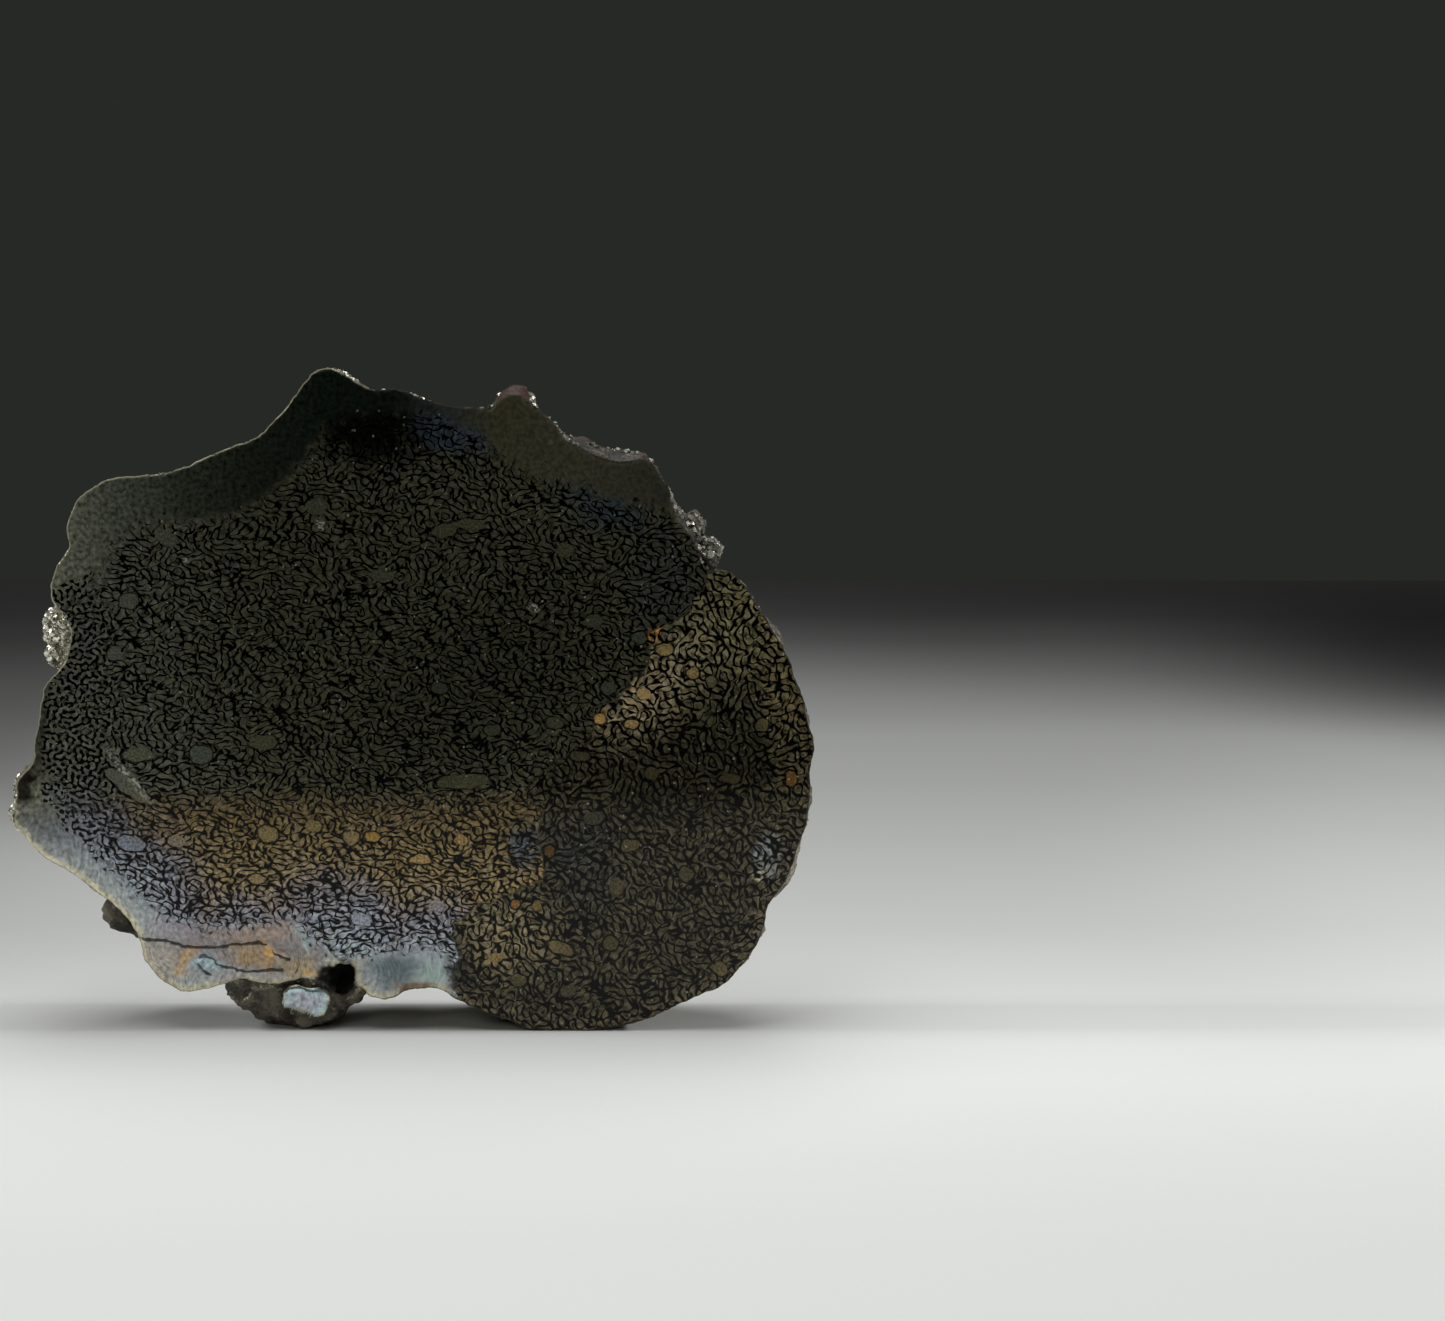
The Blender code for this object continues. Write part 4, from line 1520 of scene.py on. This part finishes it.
        stains = (
            Stain(Area((-67.6, 45.2), (1.7, 3.8), -10.0, 0.35), (0.014, 0.012, 0.009), 0.95),
            Stain(Area((-29.0, 14.2), (18.0, 4.6), -4.0, 0.5), (0.27, 0.232, 0.225), 0.85, 0.75),
            Stain(Area((-44.6, 12.6), (4.2, 4.0), -30.0, 0.6), (0.45, 0.39, 0.32), 0.6, 0.8),
            Stain(Area((-40.4, 12.6), (1.2, 3.4), -35.0, 0.6), (0.52, 0.34, 0.16), 0.75, 0.8),
            Stain(Area((-28.2, 14.0), (3.8, 2.6), 0.0, 0.5), (0.36, 0.255, 0.14), 0.85, 0.8),
            Stain(Area((-25.4, 14.2), (1.0, 2.8), 6.0, 0.6), (0.55, 0.33, 0.10), 0.8, 0.8),
            Stain(Area((-20.4, 12.4), (3.4, 2.4), 0.0, 0.6), (0.37, 0.29, 0.17), 0.75, 0.8),
            Stain(Area((-18.2, 10.4), (1.6, 1.0), 0.0, 0.6), (0.66, 0.38, 0.09), 0.7, 0.8),
            Stain(Area((-41.5, 20.6), (4.5, 3.0), 10.0, 0.7), (0.36, 0.31, 0.33), 0.7, 0.7),
            Stain(Area((-27.0, 18.8), (8.5, 2.4), 0.0, 0.6), (0.36, 0.27, 0.21), 0.8, 0.7),
            Stain(Area((-20.2, 15.2), (2.8, 1.7), 0.0, 0.6), (0.24, 0.22, 0.215), 0.7, 0.7),
            Stain(Area((-36.2, 12.4), (2.6, 1.8), -20.0, 0.4), (0.40, 0.52, 0.56), 0.8, 0.7),
            Stain(Area((-31.8, 10.0), (2.4, 1.2), 0.0, 0.5), (0.38, 0.36, 0.36), 0.8, 0.7),
            Stain(Area((-18.9, 17.2), (1.0, 2.8), 10.0, 0.5), (0.46, 0.57, 0.55), 0.8, 0.5),
            Stain(Area((-2.8, 11.2), (4.6, 3.4), 0.0, 0.6), (0.135, 0.170, 0.185), 0.95, 0.7),
            Stain(Area((3.4, 10.6), (2.8, 2.4), 0.0, 0.5), (0.34, 0.44, 0.41), 0.8, 0.7),
            Stain(Area((0.2, 8.3), (3.6, 0.9), 0.0, 0.5), (0.24, 0.16, 0.11), 0.9, 0.4),
            Stain(Area((7.8, 10.0), (1.6, 7.0), 6.0, 0.5), (0.035, 0.034, 0.030), 0.8, 0.2),
            Stain(Area((-19.0, 5.6), (5.0, 4.0), 0.0, 0.3), (0.50, 0.65, 0.70), 1.0, 0.75),
            Stain(Area((-19.2, 5.4), (2.9, 2.0), 0.0, 0.4), (0.47, 0.47, 0.53), 0.95, 0.75),
        )
        for stain in stains:
            mask = graph.patch(drift, stain.area) * stain.strength
            base = graph.mix(mask, base, stain.tint)
            metal = graph.fade(mask, metal, stain.metal)
        calm = x.step(-16.0, 12.0) * 1.3 + lower * 1.3
        texture = 1 + fibres * (0.8 + lower * 0.4) + mottle * (2.6 - calm)
        return base * texture, metal

    def _lobe_tones(self, graph: Graph, flat: Wire, drift: Wire, height: Wire, rim: Wire) -> Wire:
        """Colour the struts of the browner lobe on the right.

        Args:
            graph: Tree of the material.
            flat: Place on the face in millimetres.
            drift: The same place, bent so that the stains' borders wander.
            height: Second component of the place.
            rim: Distance from the face's edge.

        Returns:
            Base colour.
        """
        broad = graph.grain(flat, 9.0, 2.0, "2D") - 0.5
        base = graph.mix((broad * 3.0).step(-0.6, 0.6), (0.046, 0.042, 0.025), (0.078, 0.070, 0.040))
        lower = height.step(38.0, 46.0, 1.0, 0.0)
        base = graph.mix(lower * 0.8, base, (0.108, 0.095, 0.062))
        stains = (
            Stain(Area((50.5, 67.5), (20.0, 6.5), 46.0, 0.5), (0.27, 0.225, 0.132), 0.95),
            Stain(Area((59.0, 74.0), (8.0, 11.0), 25.0, 0.5), (0.195, 0.172, 0.086), 0.8),
            Stain(Area((41.5, 61.0), (7.0, 3.2), 46.0, 0.6), (0.37, 0.29, 0.18), 0.7),
            Stain(Area((66.5, 60.0), (3.6, 14.0), 8.0, 0.6), (0.20, 0.16, 0.075), 0.7),
            Stain(Area((55.0, 60.5), (4.5, 6.0), 20.0, 0.8), (0.07, 0.07, 0.035), 0.7),
            Stain(Area((68.0, 42.0), (3.4, 9.0), -8.0, 0.6), (0.13, 0.105, 0.06), 0.6),
            Stain(Area((17.0, 17.5), (9.0, 7.0), 0.0, 0.6), (0.33, 0.265, 0.155), 0.8),
            Stain(Area((31.0, 31.5), (6.0, 8.0), 10.0, 0.6), (0.060, 0.060, 0.055), 0.8),
            Stain(Area((50.0, 47.5), (17.0, 9.0), 12.0, 0.6), (0.033, 0.030, 0.018), 0.65),
            Stain(Area((9.0, 10.0), (2.2, 7.5), 6.0, 0.5), (0.045, 0.045, 0.040), 0.85),
            Stain(Area((43.2, 72.4), (1.6, 1.2), 0.0, 0.5), (0.50, 0.26, 0.05), 0.9),
            Stain(Area((38.2, 63.2), (1.1, 1.3), 0.0, 0.5), (0.45, 0.25, 0.07), 0.9),
            Stain(Area((34.0, 57.0), (1.6, 1.4), 0.0, 0.5), (0.42, 0.30, 0.14), 0.8),
            Stain(Area((63.8, 31.6), (2.9, 4.4), -10.0, 0.3), (0.27, 0.29, 0.28), 0.9),
            Stain(Area((67.4, 31.0), (1.6, 4.6), -20.0, 0.4), (0.085, 0.090, 0.092), 0.9),
            Stain(Area((62.3, 28.5), (1.7, 1.4), 0.0, 0.4), (0.46, 0.43, 0.28), 0.95),
        )
        base = graph.stained(base, drift, stains)
        crustal = rim.step(1.0, 4.0, 1.0, 0.0) * height.step(30.0, 40.0, 1.0, 0.0)
        return graph.mix(crustal * 0.7, base, (0.16, 0.13, 0.085))


@dataclass(frozen=True)
class SawnBone:
    """Sawn back: the same bone, only cut and not polished."""

    net: PoreNet = PoreNet()
    weave: Weave = Weave((0.82, 0.95), 12.0, (77.0, 5.0))
    link_weave: Weave = Weave((0.82, 0.95), 50.0, (17.0, 35.0))
    bone_dark: Colour = (0.11, 0.10, 0.08)
    bone_pale: Colour = (0.19, 0.17, 0.125)
    massive_tint: Colour = (0.21, 0.20, 0.165)
    pore_tint: Colour = (0.025, 0.023, 0.018)
    dust_tint: Colour = (0.30, 0.26, 0.19)

    def dress(self) -> bpy.types.Material:
        """Make the material.

        Returns:
            The material.
        """
        graph = Graph("sawn_bone")
        spot = graph.millimetres()
        x, height = spot.part(0), spot.part(2)
        flat = graph.on_face(spot)
        ragged = graph.grain(flat, 2.4, 2.0, "2D") - 0.5
        broad = graph.grain(flat, 14.0, 3.0, "2D") - 0.5
        massive = graph.attribute("massive") + ragged * 3.0
        solid = massive.step(-0.2, 0.7)
        fading = massive.step(-3.4, 0.3)
        line_place, link_place = self.weave.lay(graph, flat), self.link_weave.lay(graph, flat)
        width, reach = 0.16 - fading * 0.14, -0.38 - fading * 0.08
        pores, away = self.net.draw(graph, line_place, link_place, width, reach)
        pores = pores * (1 - solid)
        base = graph.mix((broad * 3.0).step(-0.8, 0.8), self.bone_dark, self.bone_pale)
        base = graph.mix(solid, base, self.massive_tint)
        light = 1 + away.step(0.0, 0.3, -0.1, 0.15) * (1 - solid)
        light = light + (graph.grain(flat, 0.4, 4.0, "2D") - 0.5) * 0.5
        saw_place = graph.node("ShaderNodeCombineXYZ", {}, {0: x * 0.04 + height * 0.5, 1: height * 0.02})
        saw = graph.grain(saw_place + ragged * 0.05, 0.16, 3.0, "2D")
        base = base * light
        base = graph.mix(pores * 0.85, base, self.pore_tint)
        dust = (graph.grain(flat, 6.0, 5.0, "2D")).step(0.45, 0.75)
        base = graph.mix(dust * 0.28, base, self.dust_tint)
        normal = graph.bump(saw, 0.5, 0.06)
        return graph.finish({
            "Base Color": base,
            "Metallic": (1 - pores) * (1 - dust) * 0.35,
            "Roughness": 0.46 + saw * 0.14 + pores * 0.1,
            "Normal": normal,
            "Specular IOR Level": 0.35,
        })


@dataclass(frozen=True)
class PyriteCrust:
    """Natural crust of the rim: grainy pyrite over brown stone, rusty in the hollows."""

    stone: Colour = (0.065, 0.055, 0.042)
    brass: Colour = (0.30, 0.27, 0.20)
    rust: Colour = (0.16, 0.075, 0.03)
    cap: Colour = (0.040, 0.013, 0.007)
    glitter: Colour = (0.58, 0.55, 0.44)
    dulling: Colour = (0.23, 0.225, 0.235)
    fleck_size: float = 0.5
    grain_size: float = 0.45
    dull_area: Area = Area((42.0, 100.0), (34.0, 18.0), -35.0, 0.4)
    cap_area: Area = Area((19.0, 114.4), (4.0, 2.0), 0.0, 0.3)

    def dress(self) -> bpy.types.Material:
        """Make the material.

        Returns:
            The material.
        """
        graph = Graph("pyrite_crust")
        spot = graph.millimetres()
        relief = graph.attribute("relief")
        patches = graph.grain(spot, 6.5, 3.0) - 0.5
        fine = graph.grain(spot, 0.55, 4.0)
        raised = (relief + patches * 0.9 + (fine - 0.5) * 0.6).step(-0.25, 0.35)
        base = graph.mix(raised, self.stone, self.brass)
        rusty = (graph.grain(spot + (50.0, 0.0, 0.0), 8.0, 4.0)).step(0.55, 0.68) * (1 - raised * 0.6)
        base = graph.mix(rusty * 0.7, base, self.rust)
        flecks = graph.cells(spot, self.fleck_size).beside("Color").part(0)
        light = 0.55 + flecks * 0.9
        base = base * light
        bright = flecks.step(0.86, 0.93) * raised
        base = graph.mix(bright * 0.8, base, self.glitter)
        flat = graph.on_face(spot)
        dull = graph.patch(flat, self.dull_area)
        base = base * graph.mix(dull, 1.0, self.dulling)
        cap = graph.patch(flat, self.cap_area)
        base = graph.mix(cap * 0.9, base, self.cap)
        raised = raised * (1 - cap) * (1 - dull * 0.4)
        grains = graph.cells(spot, self.grain_size)
        normal = graph.bump((1 - grains) * 0.6 + fine * 0.4, 0.8, 0.16)
        return graph.finish({
            "Base Color": base,
            "Metallic": raised * 0.75 * (1 - rusty * 0.8),
            "Roughness": 0.62 - raised * 0.22 - bright * 0.12,
            "Normal": normal,
            "Specular IOR Level": 0.4,
        })


@dataclass(frozen=True)
class DarkMatrix:
    """Dark hackly mudstone that still clings to the lower edge."""

    dark: Colour = (0.026, 0.023, 0.018)
    pale: Colour = (0.165, 0.148, 0.112)
    glitter: Colour = (0.28, 0.26, 0.20)
    fleck_size: float = 0.6
    # Painted shade in the pit's hollow.
    pit_shade: Area = Area((-12.8, 9.6), (3.1, 3.2), 0.0, 0.3)

    def dress(self) -> bpy.types.Material:
        """Make the material.

        Returns:
            The material.
        """
        graph = Graph("dark_matrix")
        spot = graph.millimetres()
        coarse = graph.grain(spot, 3.2, 5.0)
        fine = graph.grain(spot, 0.5, 4.0)
        mixed = (coarse * 0.7 + fine * 0.3 + graph.attribute("relief") * 0.15).step(0.36, 0.68)
        base = graph.mix(mixed, self.dark, self.pale)
        flecks = graph.cells(spot, self.fleck_size).beside("Color")
        bright = flecks.part(1).step(0.93, 0.97)
        base = graph.mix(bright * 0.6, base, self.glitter)
        flat = graph.on_face(spot)
        # Painted shade: the matrix is darkened in the pit's hollow.
        light = 1 - graph.patch(flat, self.pit_shade) * 0.9
        base = base * light
        normal = graph.bump(fine * 0.6 + coarse * 0.4, 0.9, 0.22)
        return graph.finish({
            "Base Color": base,
            "Metallic": bright * 0.5,
            "Roughness": 0.86 - bright * 0.4,
            "Normal": normal,
            "Specular IOR Level": 0.3,
        })


@dataclass(frozen=True)
class SilverPyrite:
    """Bright pyrite of the nodules and of the crystals on them."""

    name: str
    carried_shine: bool
    dark: Colour = (0.10, 0.095, 0.075)
    bright: Colour = (0.82, 0.80, 0.68)
    grain_size: float = 0.42

    def dress(self) -> bpy.types.Material:
        """Make the material.

        Returns:
            The material.
        """
        graph = Graph(self.name)
        spot = graph.millimetres()
        fine = graph.grain(spot, 0.7, 3.0)
        grains = graph.cells(spot, self.grain_size)
        flecks = grains.beside("Color").part(0)
        shine = graph.attribute("shine") if self.carried_shine else flecks * 0.8 + 0.1
        shine = (shine + (fine - 0.5) * 0.5).step(0.0, 1.0)
        base = graph.mix(shine, self.dark, self.bright)
        normal = graph.bump((1 - grains) * 0.7 + fine * 0.3, 0.5, 0.08)
        return graph.finish({
            "Base Color": base,
            "Metallic": 0.55 + shine * 0.4,
            "Roughness": 0.42 - shine * 0.16,
            "Normal": normal,
        })


@dataclass(frozen=True)
class Softbox:
    """Area light aimed at a point."""

    name: str
    place: Point
    aim: Point
    width: float
    depth: float
    watts: float
    colour: Colour = (1.0, 1.0, 1.0)

    def build(self) -> None:
        """Hang the light."""
        light = bpy.data.lights.new(self.name, "AREA")
        light.shape = "RECTANGLE"
        light.size = self.width * MM
        light.size_y = self.depth * MM
        light.energy = self.watts
        light.color = self.colour
        lamp = bpy.data.objects.new(self.name, light)
        lamp.location = Vector(self.place) * MM
        aim = Vector(self.aim) - Vector(self.place)
        lamp.rotation_euler = aim.to_track_quat("-Z", "Y").to_euler()
        bpy.context.scene.collection.objects.link(lamp)


@dataclass
class Studio:
    """Pale table whose painted tone falls away into the dark, with painted shadows and pools of light, soft
    light from above, and the camera.
    """

    table_x: float = 900.0
    table_front: float = -240.0
    table_back: float = 620.0
    # Span over which painted falloff of light darkens the table towards its sides.
    side_falloff_span: tuple[float, float] = (380.0, 840.0)
    # Painted falloff of light: the table's tone by its y, dark at the front edge, palest just in front of
    # the stone and darkening away behind it.
    table_light_falloff: tuple[tuple[float, float], ...] = (
        (-240.0, 0.024), (-215.0, 0.03), (-204.0, 0.12), (-190.0, 0.30), (-165.0, 0.52), (-143.0, 0.78),
        (-115.0, 0.78), (-79.0, 0.81), (-38.0, 0.86), (-15.0, 0.83), (20.0, 0.70), (65.0, 0.58),
        (107.0, 0.52), (156.0, 0.448), (213.0, 0.38), (280.0, 0.333), (319.0, 0.271), (362.0, 0.218),
        (409.0, 0.154), (461.0, 0.088), (520.0, 0.044), (572.0, 0.030), (620.0, 0.026),
    )
    # Painted shadows and pools of light on the table: each area, and how much it darkens or lightens the
    # tone.
    painted_shadows_and_light: tuple[tuple[Area, float], ...] = (
        (Area((-260.0, 330.0), (200.0, 230.0), 0.0, 0.5), -0.64),
        (Area((340.0, 430.0), (110.0, 150.0), 0.0, 0.6), -0.80),
        (Area((300.0, 480.0), (215.0, 160.0), 0.0, 0.35), -0.28),
        (Area((300.0, 120.0), (130.0, 170.0), 0.0, 0.4), 0.20),
        (Area((-150.0, 45.0), (110.0, 75.0), 0.0, 0.6), -0.20),
    )
    table_tint: Colour = (0.985, 1.0, 0.975)
    room: Colour = (0.0203, 0.0222, 0.0194)
    lights: tuple[Softbox, ...] = (
        Softbox("softbox_above", (-60.0, 90.0, 900.0), (0.0, 20.0, 0.0), 1000.0, 700.0, 6.85),
        Softbox("side_left", (-1400.0, 4.0, 700.0), (0.0, 0.0, 0.0), 100.0, 90.0, 7.2),
        Softbox("side_right", (1400.0, 4.0, 700.0), (0.0, 0.0, 0.0), 100.0, 90.0, 8.8),
        Softbox("fill_front", (-350.0, -800.0, 620.0), (0.0, 0.0, 60.0), 500.0, 400.0, 0.6),
    )
    camera_place: Point = (55.75, -498.4, 144.8)
    camera_pitch: float = -9.0
    camera_lens: float = 70.26
    camera_sensor: float = 36.0

    def build(self) -> bpy.types.Object:
        """Set the table, the lights, the dark room and the camera.

        Returns:
            The table.
        """
        table = self._build_table()
        for light in self.lights:
            light.build()
        self._build_room()
        self._build_camera()
        bpy.context.scene.view_settings.view_transform = "Standard"
        return table

    def _build_table(self) -> bpy.types.Object:
        """Lay the table top, just under the stone's feet.

        Returns:
            The table.
        """
        corners = [
            (-self.table_x, self.table_front, 0.0), (self.table_x, self.table_front, 0.0),
            (self.table_x, self.table_back, 0.0), (-self.table_x, self.table_back, 0.0),
        ]
        data = bpy.data.meshes.new("table")
        data.from_pydata([Vector(corner) * MM for corner in corners], [], [(0, 1, 2, 3)])
        table = bpy.data.objects.new("table", data)
        bpy.context.scene.collection.objects.link(table)
        graph = Graph("table_card")
        spot = graph.millimetres()
        span = self.table_back - self.table_front
        # Painted falloff of light along the table, from the tones above.
        stops = tuple(((y - self.table_front) / span, (tone,) * 3) for y, tone in self.table_light_falloff)
        away = (spot.part(1) - self.table_front) / span
        tone = graph.node("ShaderNodeValToRGB", {"stops": stops}, {"Fac": away})
        pulp = graph.grain(spot, 0.9, 4.0) - 0.5
        # Painted falloff of light towards the table's sides.
        side_falloff = spot.part(0).size().step(*self.side_falloff_span, 1.0, 0.03)
        light = (1 + pulp * 0.03) * side_falloff
        # Painted shadows and pools of light.
        for area, gain in self.painted_shadows_and_light:
            light = light * (1 + graph.patch(spot, area) * gain)
        base = tone * light * self.table_tint
        data.materials.append(graph.finish({
            "Base Color": base,
            "Roughness": 0.78 + pulp * 0.1,
            "Normal": graph.bump(pulp + 0.5, 0.15, 0.05),
            "Specular IOR Level": 0.15,
        }))
        return table

    def _build_room(self) -> None:
        """Fill the room round the table with a dim even grey."""
        world = bpy.data.worlds.new("dim_room")
        world.use_nodes = True
        world.node_tree.nodes["Background"].inputs["Color"].default_value = (*self.room, 1.0)
        bpy.context.scene.world = world

    def _build_camera(self) -> None:
        """Set the camera where the photographer stood."""
        lens = bpy.data.cameras.new("camera")
        lens.lens = self.camera_lens
        lens.sensor_width = self.camera_sensor
        lens.clip_start = 0.01
        camera = bpy.data.objects.new("camera", lens)
        camera.location = Vector(self.camera_place) * MM
        camera.rotation_euler = (math.radians(90.0 + self.camera_pitch), 0.0, 0.0)
        bpy.context.scene.collection.objects.link(camera)
        bpy.context.scene.camera = camera


def triangle_count(piece: bpy.types.Object) -> int:
    """Count the triangles of a piece."""
    return sum(len(face.vertices) - 2 for face in piece.data.polygons)


def main() -> None:
    """Build every piece in order."""
    logging.basicConfig(level=logging.INFO, format="%(message)s")
    chart = FaceChart()
    skin_maker = SlabSkin(chart)
    skin = skin_maker.build(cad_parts[SLAB_NODE])
    skin_maker.dress(skin, {
        Layer.POLISHED: PolishedBone().dress(),
        Layer.SAWN: SawnBone().dress(),
        Layer.CRUST: PyriteCrust().dress(),
        Layer.MATRIX: DarkMatrix().dress(),
        Layer.DRUSE: SilverPyrite("silver_nodule", False).dress(),
    })
    logging.info("%s: %d triangles", skin.name, triangle_count(skin))
    druse = Druse().build(skin)
    druse.data.materials.append(SilverPyrite("silver_crystals", True).dress())
    logging.info("%s: %d triangles", druse.name, triangle_count(druse))
    table = Studio().build()
    logging.info("%s: set", table.name)


if __name__ == "__main__":
    main()
